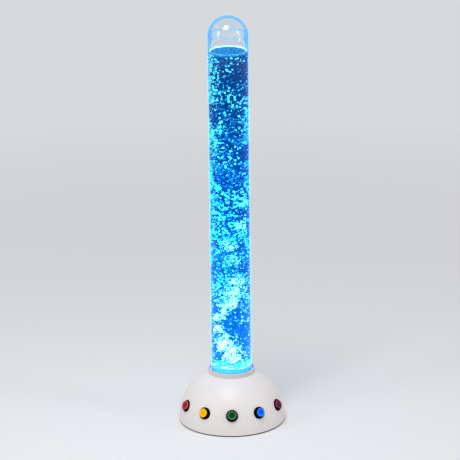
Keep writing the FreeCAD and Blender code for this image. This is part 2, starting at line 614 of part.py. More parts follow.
def control_corners():
    half_wide, half_deep = "(control_wide / 2 - control_edge)", "(control_deep / 2 - control_edge)"
    return [(f"{sx} * {half_wide}", f"0 - control_front + {sy} * {half_deep}")
            for sx in (-1, 1) for sy in (-1, 1)]


def make_controller():
    board = block("ControlBoard", "control_wide", "control_deep", "board_thick", 0, "0 - control_front",
                  CONTROL_BASE)
    holes = [rod(f"ControlHole{n}", "screw_hole", "board_thick + 2", x, y, f"{CONTROL_BASE} - 1")
             for n, (x, y) in enumerate(control_corners(), start=1)]
    keep("control_board", cut("ControlBoard", board, *holes))
    top = f"({CONTROL_BASE} + board_thick)"
    front = "(0 - control_front - control_deep / 2)"
    plugs = [block(f"Header{n}", "header_wide", "header_deep", "header_tall", f"{n} * header_pitch",
                   f"{front} + header_deep / 2 + 1", top) for n in BUTTONS.values()]
    middle = "(0 - control_front)"
    chips = [
        block("Processor", "chip_side", "chip_side", "chip_thick", 0, middle, top),
        block("Driver", "driver_wide", "chip_side", "tall_part", "part_offset", middle, top),
        block("PowerHeader", "power_header", "header_deep", "tall_part", "0 - part_offset",
              f"{middle} + control_deep / 2 - header_deep", top),
        rod("Capacitor", "capacitor_radius", "capacitor_tall", "0 - part_offset", middle, top),
    ]
    keep("control_parts", group("ControlParts", plugs + chips))
    flip = Rotation(Vector(1, 0, 0), 180)
    keep("control_screws", group("ControlScrews", [
        screw(f"ControlScrew{n}", "control_lift - 1", x, y, top, flip)
        for n, (x, y) in enumerate(control_corners(), start=1)]))


# ---------------------------------------------------------------- air pump
PUMP_FLOOR = f"({PLATE_TOP} + pump_foot)"
TRAY_INSIDE = f"({PUMP_FLOOR} + pump_wall)"
PUMP_SEAM = f"({PUMP_FLOOR} + tray_tall)"
PIVOT_X = "(0 - pump_long / 2 + pivot_inset)"
PIVOT_Z = f"({TRAY_INSIDE} + pivot_lift)"
LEVER_UNDER = f"({PIVOT_Z} - lever_thick / 2)"
VALVE_TOP = f"({TRAY_INSIDE} + valve_tall)"
BELLOWS_X = f"({PIVOT_X} + lever_reach / 2)"
MAGNET_X = f"({PIVOT_X} + lever_reach)"
CORE_FRONT = f"({MAGNET_X} + magnet_long / 2 + pole_gap)"
CORE_LONG = f"(pump_long / 2 - pump_wall - 0.5 - {CORE_FRONT})"
CORE_X = f"({CORE_FRONT} + {CORE_LONG} / 2)"
CORE_FOOT = f"({PIVOT_Z} - core_tall / 2)"


def rounded_box(name, wide, deep, tall, corner, z):
    """A box about the pump's centre with its four upright edges rounded."""
    body = doc.addObject("PartDesign::Body", name)
    half_wide, half_deep = f"({wide}) / 2", f"({deep}) / 2"
    sketch = outline_sketch(body, "XY_Plane", [
        (f"{corner} - {half_wide}", f"0 - {half_deep}"),
        (f"{half_wide} - {corner}", f"0 - {half_deep}", corner, 1),
        (half_wide, f"{corner} - {half_deep}"), (half_wide, f"{half_deep} - {corner}", corner, 1),
        (f"{half_wide} - {corner}", half_deep), (f"{corner} - {half_wide}", half_deep, corner, 1),
        (f"0 - {half_wide}", f"{half_deep} - {corner}"),
        (f"0 - {half_wide}", f"{corner} - {half_deep}", corner, 1),
    ])
    pad = body.newObject("PartDesign::Pad", f"{name}_pad")
    pad.Profile = sketch
    pad.setExpression("Length", bound(tall))
    return put(body, 0, "pump_back", z)


def pump_corners():
    inset = "(pump_round + 0.5)"
    return [(f"{sx} * (pump_long / 2 - {inset})", f"pump_back + {sy} * (pump_wide / 2 - {inset})")
            for sx in (-1, 1) for sy in (-1, 1)]


def make_pump_case():
    inner_long, inner_wide = "pump_long - 2 * pump_wall", "pump_wide - 2 * pump_wall"
    inner_round = "(pump_round - pump_wall)"
    tray = rounded_box("Tray", "pump_long", "pump_wide", "tray_tall", "pump_round", PUMP_FLOOR)
    tray_air = rounded_box("TrayAir", inner_long, inner_wide, "tray_tall", inner_round, TRAY_INSIDE)
    posts = [rod(f"PumpPost{n}", "post_radius + 0.6", "tray_tall - 1", x, y, f"{PUMP_FLOOR} + 1")
             for n, (x, y) in enumerate(pump_corners(), start=1)]
    pilots = [rod(f"PumpPilot{n}", "screw_radius", "tray_tall", x, y, f"{TRAY_INSIDE} + 6")
              for n, (x, y) in enumerate(pump_corners(), start=1)]
    port = put(rod("Port", "outlet_radius + 0.4", "pump_wall + 4"), "0 - pump_long / 2 - 1", "pump_back",
               f"{TRAY_INSIDE} + outlet_height", Rotation(Vector(0, 1, 0), 90))
    stand = block("CoreStand", CORE_LONG, "core_deep + 4", f"{CORE_FOOT} - {PUMP_FLOOR} - 1", CORE_X,
                  "pump_back", f"{PUMP_FLOOR} + 1")
    tray_body = fuse("Tray", cut("TrayShell", tray, tray_air), *posts, stand)
    keep("pump_tray", cut("Tray", tray_body, *pilots, port))
    cover = rounded_box("Cover", "pump_long", "pump_wide", "cover_tall", "pump_round", PUMP_SEAM)
    cover_air = rounded_box("CoverAir", inner_long, inner_wide, "cover_tall - pump_wall", inner_round,
                            PUMP_SEAM)
    sleeves = [rod(f"Sleeve{n}", "post_radius + 0.6", "cover_tall - 1", x, y, PUMP_SEAM)
               for n, (x, y) in enumerate(pump_corners(), start=1)]
    bores = [rod(f"SleeveBore{n}", "screw_hole", "cover_tall + 2", x, y, f"{PUMP_SEAM} - 1")
             for n, (x, y) in enumerate(pump_corners(), start=1)]
    keep("pump_cover", cut("Cover", fuse("Cover", cut("CoverShell", cover, cover_air), *sleeves), *bores))
    flip = Rotation(Vector(1, 0, 0), 180)
    keep("pump_screws", group("PumpScrews", [
        screw(f"PumpScrew{n}", "cover_tall + 12", x, y, f"{PUMP_SEAM} + cover_tall", flip)
        for n, (x, y) in enumerate(pump_corners(), start=1)]))
    keep("pump_feet", group("PumpFeet", [
        rod(f"PumpFoot{n}", "pad_foot_radius", "pump_foot", x, y, PLATE_TOP)
        for n, (x, y) in enumerate(pump_corners(), start=1)]))


def make_pump_works():
    """Magnet lever, bellows, valve box and laminated core with its coil."""
    base = block("ValveBox", "valve_side", "valve_side", "valve_tall", BELLOWS_X, "pump_back", TRAY_INSIDE)
    along = Rotation(Vector(0, 1, 0), 90)
    outlet_start = f"({BELLOWS_X} - valve_side / 2)"
    reach = f"({outlet_start} + pump_long / 2 + outlet_length + 1)"
    outlet = put(rod("Outlet", "outlet_radius", reach), "0 - pump_long / 2 - outlet_length", "pump_back",
                 f"{TRAY_INSIDE} + outlet_height", along)
    outlet_bore = put(rod("OutletBore", "air_bore", f"{reach} + 1"), "0 - pump_long / 2 - outlet_length - 1",
                      "pump_back", f"{TRAY_INSIDE} + outlet_height", along)
    cheeks = []
    for side in (-1, 1):
        cheek = block(f"Cheek{side + 1}", "2 * eye_radius", "cheek_thick",
                      f"{PIVOT_Z} + eye_radius - {TRAY_INSIDE}", PIVOT_X,
                      f"pump_back + {side} * (lever_width / 2 + cheek_gap + cheek_thick / 2)", TRAY_INSIDE)
        cheeks.append(cheek)
    sill = block("Sill", f"{BELLOWS_X} - {PIVOT_X} - valve_side / 2 + eye_radius + 1",
                 "lever_width + 2 * cheek_gap + 2 * cheek_thick", "cheek_thick",
                 f"({PIVOT_X} - eye_radius + {outlet_start} + 1) / 2", "pump_back", TRAY_INSIDE)
    upright = Rotation(Vector(1, 0, 0), -90)
    pin_half = "(lever_width / 2 + cheek_gap + cheek_thick)"
    pin_seats = put(rod("PinSeats", "pivot_radius", f"2 * {pin_half} + 4"), PIVOT_X,
                    f"pump_back - {pin_half} - 2", PIVOT_Z, upright)
    keep("valve_box", cut("ValveBox", fuse("ValveBox", base, outlet, sill, *cheeks), outlet_bore, pin_seats))
    keep("lever_pin", put(rod("LeverPin", "pivot_radius", f"2 * {pin_half}"), PIVOT_X,
                          f"pump_back - {pin_half}", PIVOT_Z, upright))
    arm = block("Arm", "lever_reach - magnet_long / 2", "lever_width", "lever_thick",
                f"{PIVOT_X} + (lever_reach - magnet_long / 2) / 2", "pump_back", LEVER_UNDER)
    eye = put(rod("Eye", "eye_radius", "lever_width"), PIVOT_X, "pump_back - lever_width / 2", PIVOT_Z,
              upright)
    eye_bore = put(rod("EyeBore", "pivot_radius + pivot_gap", "lever_width + 2"), PIVOT_X,
                   "pump_back - lever_width / 2 - 1", PIVOT_Z, upright)
    keep("pump_lever", cut("Lever", fuse("Lever", arm, eye), eye_bore))
    keep("lever_magnet", block("Magnet", "magnet_long", "lever_width", "magnet_tall", MAGNET_X, "pump_back",
                               f"{PIVOT_Z} - magnet_tall / 2"))
    low, high = VALVE_TOP, f"({LEVER_UNDER} - seat_gap)"
    fold = f"(({high} - {low}) / 4)"
    keep("bellows", turned("Bellows", [
        (0, low), ("bellows_radius", low), ("bellows_radius", f"{low} + bellows_rim"),
        ("bellows_waist", f"{low} + {fold}"),
        ("bellows_radius", f"{low} + 2 * {fold}"), ("bellows_waist", f"{low} + 3 * {fold}"),
        ("bellows_waist", high), (0, high),
    ], x=BELLOWS_X, y="pump_back"))
    keep("pump_core", make_core())
    coil_long = f"({CORE_LONG} - yoke_thick - 1)"
    coil_x = f"({CORE_FRONT} + 0.5 + {coil_long} / 2)"
    coil_tall = "(core_tall - 2 * outer_limb - 2 * coil_gap)"
    winding = block("Winding", coil_long, "core_deep + 2 * coil_build", coil_tall, coil_x, "pump_back",
                    f"{PIVOT_Z} - {coil_tall} / 2")
    window = block("WindingBore", f"{coil_long} + 2", "core_deep + 2 * coil_gap",
                   "centre_limb + 2 * coil_gap", coil_x, "pump_back",
                   f"{PIVOT_Z} - centre_limb / 2 - coil_gap")
    keep("pump_coil", cut("Winding", winding, window))


def make_core():
    """An E of stacked laminations whose three limbs face the magnet as it swings up and down."""
    stack = block("Core", CORE_LONG, "core_deep", "core_tall", CORE_X, "pump_back", CORE_FOOT)
    gap_tall = "((core_tall - 2 * outer_limb - centre_limb) / 2)"
    gap_long = f"({CORE_LONG} - yoke_thick + 1)"
    gap_x = f"({CORE_FRONT} - 1 + {gap_long} / 2)"
    lower = block("CoreGapLow", gap_long, "core_deep + 2", gap_tall, gap_x, "pump_back",
                  f"{CORE_FOOT} + outer_limb")
    upper = block("CoreGapHigh", gap_long, "core_deep + 2", gap_tall, gap_x, "pump_back",
                  f"{PIVOT_Z} + centre_limb / 2")
    return cut("Core", stack, lower, upper)


# ---------------------------------------------------------------- air line
def rounded_path(spots, bend):
    """Straight runs joined by arcs of one bend radius."""
    edges, start = [], spots[0]
    for before, corner, after in zip(spots, spots[1:], spots[2:]):
        into, out = (corner - before).normalize(), (after - corner).normalize()
        half_turn = into.getAngle(out) / 2
        setback = bend * math.tan(half_turn)
        enter, leave = corner - into * setback, corner + out * setback
        inward = (out - into).normalize()
        middle = corner + inward * (bend / math.cos(half_turn) - bend)
        if (enter - start).Length > 1e-6:
            edges.append(Part.LineSegment(start, enter).toShape())
        edges.append(Part.Arc(enter, middle, leave).toShape())
        start = leave
    edges.append(Part.LineSegment(start, spots[-1]).toShape())
    return Part.Wire(edges)


def spot(x, y, z):
    return Vector(size(x), size(y), size(z))


def bent_rod(name, spots, radius):
    """A round rod along a rounded path."""
    piece = doc.addObject("Part::Feature", name)
    ring = Part.makeCircle(size(radius), spots[0], spots[1] - spots[0])
    piece.Shape = rounded_path(spots, size("hose_bend")).makePipeShell([Part.Wire(ring)], True, False)
    return piece


def hose(node, name, spots):
    """A soft tube pushed over a barb at each end."""
    skin = bent_rod(f"{name}Skin", spots, "hose_radius")
    keep(node, cut(name, skin, bent_rod(f"{name}Bore", spots, HOSE_BORE)))


def make_air_line():
    """Pump outlet to the check valve, and on up to the fitting in the end disc."""
    outlet_level = f"({TRAY_INSIDE} + outlet_height)"
    hose_level = f"({SOCKET_UNDER} - hose_drop)"
    hose_x = "(hose_inset - shell_radius)"
    check_low = f"(({outlet_level} + {hose_level} - check_tall) / 2)"
    check_high = f"({check_low} + check_tall)"
    hose("air_hose_lower", "HoseLower", [
        spot("0 - pump_long / 2 - outlet_length + hose_grip", "pump_back", outlet_level),
        spot(hose_x, "pump_back", outlet_level),
        spot(hose_x, "pump_back", f"{check_low} - 0.5"),
    ])
    barb_foot = f"({DISC_BOTTOM} - hexnut_thick - 1 - barb_length)"
    hose("air_hose_upper", "HoseUpper", [
        spot(hose_x, "pump_back", f"{check_high} + 0.5"),
        spot(hose_x, "pump_back", hose_level),
        spot(0, 0, hose_level),
        spot(0, 0, f"{barb_foot} + hose_grip"),
    ])
    keep("check_valve", turned("CheckValve", [
        ("air_bore", f"{check_low} - hose_grip"), ("barb_radius", f"{check_low} - hose_grip"),
        ("barb_radius", check_low), ("check_radius - 2", check_low), ("check_radius", f"{check_low} + 3"),
        ("check_radius", f"{check_high} - 3"), ("check_radius - 2", check_high), ("barb_radius", check_high),
        ("barb_radius", f"{check_high} + hose_grip"), ("air_bore", f"{check_high} + hose_grip"),
    ], x=hose_x, y="pump_back"))


MAKERS = [
    make_tube, make_dome_cap, make_end_disc, make_air_fitting, make_drain_plug, make_water, make_collar,
    make_socket, make_lamp_board, make_shell, make_plate, make_buttons, make_inlet, make_controller,
    make_pump_case, make_pump_works, make_air_line,
]


def main():
    for make in MAKERS:
        make()
    doc.recompute()
    for item in doc.Objects:
        if {"Invalid", "Error"} & set(item.State):
            raise RuntimeError(f"{item.Label} failed: {item.State}")
    os.makedirs("parts", exist_ok=True)
    for node, piece in NODES.items():
        shape = piece.Shape
        if shape.isNull() or not shape.isValid() or not shape.Solids:
            raise RuntimeError(f"{node} is not a valid solid")
        shape.exportStep(f"parts/{node}.step")
        print(f"{node}: {len(shape.Solids)} solids, {shape.Volume / 1000:.1f} cm3")


main()
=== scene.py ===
# %% [markdown]
# # A bubble tube floor lamp
# A clear tube of water stands in a white domed base. Air bubbles rise through the water, lamps under
# the tube's end disc light them from below, and five push buttons on the base change the colour.
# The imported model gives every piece's place in metres, so the first step loads it as a fixed frame.
# New pieces take their place and their outer size from that frame, so that nothing drifts off it.

# %% Load the frame
import math
import random

import bmesh
import bpy
from mathutils import Euler, Matrix, Vector, noise


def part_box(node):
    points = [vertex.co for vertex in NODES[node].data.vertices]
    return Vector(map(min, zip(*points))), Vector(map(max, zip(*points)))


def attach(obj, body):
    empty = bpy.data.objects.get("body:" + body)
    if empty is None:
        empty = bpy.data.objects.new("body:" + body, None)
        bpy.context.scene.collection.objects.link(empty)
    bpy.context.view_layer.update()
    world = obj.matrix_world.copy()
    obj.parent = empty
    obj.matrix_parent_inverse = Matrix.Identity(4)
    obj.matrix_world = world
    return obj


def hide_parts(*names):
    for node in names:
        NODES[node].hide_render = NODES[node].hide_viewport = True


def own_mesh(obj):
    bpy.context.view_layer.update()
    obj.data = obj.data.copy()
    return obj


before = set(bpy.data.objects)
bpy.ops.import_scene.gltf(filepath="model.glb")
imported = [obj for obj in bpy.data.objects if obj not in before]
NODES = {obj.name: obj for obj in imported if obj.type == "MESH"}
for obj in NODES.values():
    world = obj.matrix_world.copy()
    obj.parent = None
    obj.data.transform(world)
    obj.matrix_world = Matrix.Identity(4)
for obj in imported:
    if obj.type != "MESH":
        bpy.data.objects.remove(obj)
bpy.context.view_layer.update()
MM = 0.001

# %% [markdown]
# ## The camera
# The photograph was taken from some way off with a long lens, a little above the lamp, and it leans
# by half a degree. The distance, height, tilt and lens below were fitted to the widths of the base
# and tube and the places of the buttons. A long lens keeps the tube's sides almost parallel.

# %% Camera
CAMERA_DISTANCE = 9.287
CAMERA_HEIGHT = 3.611
CAMERA_DOWN = math.radians(18.0)
CAMERA_ROLL = math.radians(-0.616)
CAMERA_LENS = 259.2
CAMERA_SENSOR = 36
CAMERA_SEES = 200

lens = bpy.data.cameras.new("camera")
lens.lens = CAMERA_LENS
lens.sensor_width = CAMERA_SENSOR
lens.clip_end = CAMERA_SEES
camera = bpy.data.objects.new("camera", lens)
bpy.context.scene.collection.objects.link(camera)
camera.location = (0, -CAMERA_DISTANCE, CAMERA_HEIGHT)
tilt = Euler((math.pi / 2 - CAMERA_DOWN, 0, 0)).to_matrix()
camera.rotation_euler = (tilt @ Matrix.Rotation(CAMERA_ROLL, 3, "Z")).to_euler()
bpy.context.scene.camera = camera
print("camera at", tuple(round(v, 2) for v in camera.location))

# %% [markdown]
# ## Helpers for finishes
# Every finish is a small node tree. A picture wrapped round the piece could do it too, but it would
# blur close up and show a seam. Nodes work out the colour at each point, so they stay sharp.
# One function starts a tree with the Principled shader, which suits plastic, metal and water alike,
# and sets its plain numbers straight on the sockets.

# %% Start a finish


def start(name, colour, rough, **sockets):
    """A new material with a Principled shader, and its tree."""
    material = bpy.data.materials.new(name)
    material.use_nodes = True
    tree = material.node_tree
    shader = tree.nodes["Principled BSDF"]
    shader.inputs["Base Color"].default_value = (*colour, 1)
    shader.inputs["Roughness"].default_value = rough
    for socket, value in sockets.items():
        shader.inputs[socket.replace("_", " ")].default_value = value
    return material, tree, shader


def node(tree, kind, **settings):
    """A node of that kind with its settings."""
    made = tree.nodes.new(kind)
    for key, value in settings.items():
        setattr(made, key, value)
    return made


def place(tree):
    """The point on the surface, in metres from the lamp's origin."""
    return node(tree, "ShaderNodeTexCoord").outputs["Object"]


print("helpers: start a finish, add a node, read the place")

# %% [markdown]
# A finish that changes over a piece needs a number that changes with it, such as the height. These
# helpers do sums on such numbers and stretch one range to another.

# %% Sums and ranges


def maths(tree, operation, *values):
    """A sum, product or comparison of plain numbers and sockets."""
    made = node(tree, "ShaderNodeMath", operation=operation)
    for socket, value in zip(made.inputs, values):
        if isinstance(value, (int, float)):
            socket.default_value = value
        else:
            tree.links.new(value, socket)
    return made.outputs[0]


def vector_maths(tree, operation, *values):
    """The same for vectors. The length of a vector is a plain number."""
    made = node(tree, "ShaderNodeVectorMath", operation=operation)
    for socket, value in zip(made.inputs, values):
        if isinstance(value, Vector):
            socket.default_value = value
        else:
            tree.links.new(value, socket)
    return made.outputs["Value" if operation == "LENGTH" else "Vector"]


def stretch(tree, value, low, high, to_low=0.0, to_high=1.0):
    """Turns the range from low to high into another range, and stops at its ends."""
    span = node(tree, "ShaderNodeMapRange")
    tree.links.new(value, span.inputs["Value"])
    span.inputs["From Min"].default_value = low
    span.inputs["From Max"].default_value = high
    span.inputs["To Min"].default_value = to_low
    span.inputs["To Max"].default_value = to_high
    return span.outputs["Result"]


print("helpers: sums of numbers, sums of vectors, ranges")

# %% [markdown]
# A colour ramp turns a number from 0 to 1 into a colour. It takes no level above 1, and a bright light
# needs more, so a grey ramp is followed by a product.

# %% Heights and ramps


def height_share(tree, low, high):
    """0 at one height and 1 at another."""
    split = node(tree, "ShaderNodeSeparateXYZ")
    tree.links.new(place(tree), split.inputs[0])
    return stretch(tree, split.outputs["Z"], low, high)


def ramp(tree, value, stops):
    """A colour ramp over a value, from (place, colour) stops."""
    band = node(tree, "ShaderNodeValToRGB")
    elements = band.color_ramp.elements
    while len(elements) < len(stops):
        elements.new(0.5)
    for element, (at, colour) in zip(elements, stops):
        element.position = at
        element.color = (*colour, 1)
    tree.links.new(value, band.inputs["Fac"])
    return band.outputs["Color"]


def levels(tree, value, stops):
    """A grey ramp over a value, from (place, level) stops up to the highest level."""
    top = max(level for _, level in stops)
    greys = [(at, (level / top,) * 3) for at, level in stops]
    return maths(tree, "MULTIPLY", ramp(tree, value, greys), top)


print("helpers: height, colour ramp, levels")

# %% [markdown]
# Moulded plastic is never quite even. Its colour drifts by a percent or two, its gloss varies where
# hands and cloths have been, and close up it has a fine pebble from the mould. Noise gives all three,
# each at its own size: about a hand's width, a finger's width, and half a millimetre.

# %% Grain and drift
NOISE_LOW, NOISE_HIGH = 0.3, 0.7


def speckle(tree, scale, detail=3.0):
    """Soft noise from 0 to 1 at that many bumps a metre."""
    texture = node(tree, "ShaderNodeTexNoise")
    texture.inputs["Scale"].default_value = scale
    texture.inputs["Detail"].default_value = detail
    tree.links.new(place(tree), texture.inputs["Vector"])
    return texture.outputs["Fac"]


def pebble(tree, shader, scale, strength, distance):
    """Fine mould texture as a bump on the shader's normal."""
    bump = node(tree, "ShaderNodeBump")
    bump.inputs["Strength"].default_value = strength
    bump.inputs["Distance"].default_value = distance
    tree.links.new(speckle(tree, scale), bump.inputs["Height"])
    tree.links.new(bump.outputs["Normal"], shader.inputs["Normal"])


def drift(tree, shader, colour, amount, scale):
    """Lets the colour wander a little either side of its value."""
    darker = tuple(c * (1 - amount) for c in colour)
    lighter = tuple(min(c * (1 + amount), 1) for c in colour)
    tone = ramp(tree, speckle(tree, scale, 2), [(NOISE_LOW, darker), (NOISE_HIGH, lighter)])
    tree.links.new(tone, shader.inputs["Base Color"])


def scuff(tree, shader, low, high, scale):
    """Lets the roughness wander between two values."""
    rough = stretch(tree, speckle(tree, scale, 4), NOISE_LOW, NOISE_HIGH, low, high)
    tree.links.new(rough, shader.inputs["Roughness"])


print("helpers: speckle, pebble, drift and scuff")

# %% [markdown]
# Most pieces of the lamp are moulded, so one function puts the three together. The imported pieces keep
# their meshes, and a second function only changes what they are covered with.

# %% Moulded finish
DRIFT_AMOUNT, DRIFT_SCALE = 0.02, 9
SCUFF_AMOUNT, SCUFF_SCALE = 0.15, 60
PEBBLE_DEPTH = 0.2 * MM


def moulded(name, colour, rough, grain=1800, depth=0.15, **sockets):
    """A moulded plastic or rubber finish."""
    material, tree, shader = start(name, colour, rough, **sockets)
    drift(tree, shader, colour, DRIFT_AMOUNT, DRIFT_SCALE)
    scuff(tree, shader, rough * (1 - SCUFF_AMOUNT), rough * (1 + SCUFF_AMOUNT), SCUFF_SCALE)
    pebble(tree, shader, grain, depth, PEBBLE_DEPTH)
    return material


def dress(material, *names):
    """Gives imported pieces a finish."""
    for name in names:
        NODES[name].data.materials.clear()
        NODES[name].data.materials.append(material)
    print(material.name, "on", ", ".join(names))


# %% [markdown]
# ## The stage
# The lamp stands on a plain pale floor under a pale sky. A background that is white by strong light
# would wash out the white base, so the light stays soft and only what the camera sees is set pale:
# straight on, in a mirror or through the clear tube. The Light Path node tells those rays apart.

# %% What the camera sees


def seen(tree):
    """1 for rays that look at a surface from the camera, straight, mirrored or through glass."""
    rays = node(tree, "ShaderNodeLightPath").outputs
    direct = maths(tree, "MAXIMUM", rays["Is Camera Ray"], rays["Is Transmission Ray"])
    return maths(tree, "MAXIMUM", direct, rays["Is Glossy Ray"])


print("helper: rays that see the background")

# %% [markdown]
# The floor runs past the picture's edges, so no edge of it shows. Near the lamp it is matt paper that
# takes the lamp's shadow. Further off it fades into one even tone, as a long paper roll does.

# %% Floor
FLOOR_REACH = 40
FLOOR_DROP = 0.2 * MM
FLOOR_TONE = (0.82, 0.82, 0.825)
FLOOR_FAR = (0.68, 0.69, 0.70)
FADE_FROM, FADE_TO = 0.6, 3.2

corners = [(-1, -1), (1, -1), (1, 1), (-1, 1)]
floor_mesh = bpy.data.meshes.new("floor")
floor_mesh.from_pydata(
    [(x * FLOOR_REACH, y * FLOOR_REACH, -FLOOR_DROP) for x, y in corners], [], [(0, 1, 2, 3)])
floor = bpy.data.objects.new("floor", floor_mesh)
bpy.context.scene.collection.objects.link(floor)

floor_finish, floor_tree, floor_shader = start("floor_paper", FLOOR_TONE, 0.85)
scuff(floor_tree, floor_shader, 0.8, 0.9, 5)
distance = vector_maths(floor_tree, "LENGTH", place(floor_tree))
far = stretch(floor_tree, distance, FADE_FROM, FADE_TO)
far_floor = node(floor_tree, "ShaderNodeEmission")
far_floor.inputs["Color"].default_value = (*FLOOR_FAR, 1)
floor_mix = node(floor_tree, "ShaderNodeMixShader")
floor_tree.links.new(maths(floor_tree, "MULTIPLY", far, seen(floor_tree)), floor_mix.inputs["Fac"])
floor_tree.links.new(floor_shader.outputs[0], floor_mix.inputs[1])
floor_tree.links.new(far_floor.outputs[0], floor_mix.inputs[2])
floor_tree.links.new(floor_mix.outputs[0], floor_tree.nodes["Material Output"].inputs["Surface"])
floor_mesh.materials.append(floor_finish)
print("floor:", FLOOR_REACH * 2, "m across")

# %% [markdown]
# The sky lights the lamp evenly from all round. It has two backgrounds of one tone: a weaker one that
# gives light, and a brighter one that is only looked at.

# %% Sky
SKY_TONE = (0.90, 0.91, 0.93)
SKY_LIGHT = 0.53
SKY_SEEN = 0.85

world = bpy.data.worlds.new("sky")
world.use_nodes = True
bpy.context.scene.world = world
sky = world.node_tree
sky_mix = node(sky, "ShaderNodeMixShader")
sky.links.new(seen(sky), sky_mix.inputs["Fac"])
backgrounds = (sky.nodes["Background"], node(sky, "ShaderNodeBackground"))
for number, (background, strength) in enumerate(zip(backgrounds, (SKY_LIGHT, SKY_SEEN)), start=1):
    background.inputs["Color"].default_value = (*SKY_TONE, 1)
    background.inputs["Strength"].default_value = strength
    sky.links.new(background.outputs[0], sky_mix.inputs[number])
sky.links.new(sky_mix.outputs[0], sky.nodes["World Output"].inputs["Surface"])
print("sky: light", SKY_LIGHT, "seen", SKY_SEEN)

# %% [markdown]
# A large soft lamp overhead gives the white base its round shading, and two upright strips draw thin
# highlights down the tube. Small hard lamps would give harsh shadows and spots instead.

# %% Studio lamps
AIM = Vector((0, 0, 0.5))
SOFT_LAMPS = [
    # name, place, width, height, watts
    ("overhead", (-0.5, -1.4, 3.6), 1.2, 1.2, 66),
    ("left_strip", (-2.7, -1.7, 1.5), 0.5, 2.6, 16),
    ("right_strip", (2.9, -1.2, 1.5), 0.5, 2.6, 14),
]
for name, where, wide, tall, power in SOFT_LAMPS:
    light = bpy.data.lights.new(name, "AREA")
    light.shape = "RECTANGLE"
    light.size = wide
    light.size_y = tall
    light.energy = power
    lamp = bpy.data.objects.new(name, light)
    lamp.location = where
    lamp.rotation_euler = (AIM - Vector(where)).to_track_quat("-Z", "Y").to_euler()
    bpy.context.scene.collection.objects.link(lamp)

bpy.context.scene.view_settings.view_transform = "Standard"
# light crosses many clear surfaces here, so its paths may be longer than usual
bpy.context.scene.cycles.max_bounces = 20
bpy.context.scene.cycles.transmission_bounces = 20
bpy.context.scene.cycles.transparent_max_bounces = 12
print("studio lamps:", len(SOFT_LAMPS))

# %% [markdown]
# ## Turned pieces
# Tube, dome, water and rings are all round, so they are made as a potter would: a profile, turned
# about the upright axis. A profile is a closed list of (radius, height) points. Its corners are
# rounded first, because a real edge is never quite sharp and its small round catches the light.
# Smooth shading blends the normals of neighbouring faces, and on a wall a metre long that blend would
# bend the light all along it. So a long side gets a point close to each of its ends, which keeps the
# blend at the corner.

# %% Prepare a profile
SHARP = math.radians(12)
ROUND_STEPS = 3
NEAR_CORNER = 0.3 * MM
LONG_SIDE = 2 * MM
ON_AXIS = 1e-6


def softened(profile, radius):
    """Rounds each corner of a closed profile by about that radius."""
    points = []
    count = len(profile)
    for number in range(count):
        before, here, after = (Vector(profile[(number + k) % count]) for k in (-1, 0, 1))
        into, out = here - before, after - here
        if here.x < ON_AXIS or into.angle(out) < SHARP:
            points.append(here)
            continue
        reach = min(radius, into.length * 0.45, out.length * 0.45)
        start_at, end_at = here - into.normalized() * reach, here + out.normalized() * reach
        for step in range(ROUND_STEPS + 1):
            t = step / ROUND_STEPS
            points.append(start_at * (1 - t) ** 2 + here * 2 * t * (1 - t) + end_at * t ** 2)
    return points


def propped(profile):
    """Adds a point close to each end of a long side."""
    points = []
    for here, after in zip(profile, list(profile[1:]) + [profile[0]]):
        here, after = Vector(here), Vector(after)
        points.append(here)
        if (after - here).length > LONG_SIDE:
            step = (after - here).normalized() * NEAR_CORNER
            points += [here + step, after - step]
    return points


square = [(1, 0), (2, 0), (2, 1), (1, 1)]
print("a square of 4 points has", len(softened(square, 0.1)), "when it is softened")

# %% [markdown]
# Turning makes a ring of points from each point of the profile and joins each ring to the next. A
# point on the axis stays single, and the faces that meet there are triangles.

# %% Turn a profile
TURN_STEPS = 160


def turned_mesh(name, profile, steps=TURN_STEPS):
    """A closed mesh from a closed profile turned about the lamp's axis."""
    mesh = bmesh.new()
    rings = []
    for radius, height in propped(profile):
        if radius < ON_AXIS:
            rings.append([mesh.verts.new((0, 0, height))])
            continue
        rings.append([
            mesh.verts.new((radius * math.cos(2 * math.pi * k / steps),
                            radius * math.sin(2 * math.pi * k / steps), height))
            for k in range(steps)])
    for lower, upper in zip(rings, rings[1:] + rings[:1]):
        if len(lower) == 1 and len(upper) == 1:
            continue
        for k in range(steps):
            after = (k + 1) % steps
            corners = [lower[k % len(lower)], lower[after % len(lower)],
                       upper[after % len(upper)], upper[k % len(upper)]]
            mesh.faces.new(list(dict.fromkeys(corners)))
    bmesh.ops.recalc_face_normals(mesh, faces=mesh.faces)
    for face in mesh.faces:
        face.smooth = True
    data = bpy.data.meshes.new(name)
    mesh.to_mesh(data)
    mesh.free()
    return data


def piece(name, data, material, body, stands_for=()):
    """Puts a mesh in the scene as a piece of the lamp that rides on one of its bodies."""
    item = bpy.data.objects.new(name, data)
    bpy.context.scene.collection.objects.link(item)
    data.materials.append(material)
    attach(item, body)
    if stands_for:
        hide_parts(*stands_for)
    print(name, "faces:", len(data.polygons), "rides on:", body)
    return item


# %% [markdown]
# ## Clear acrylic
# The tube and its cap are clear acrylic. A glass shader gives its bending of light, but its shadow
# would be as black as wood's, so rays that only ask for shadow pass straight on. The Specular Tint
# sets how much such a shader mirrors. Under water a wall mirrors little, so it is low there.

# %% Clear finish


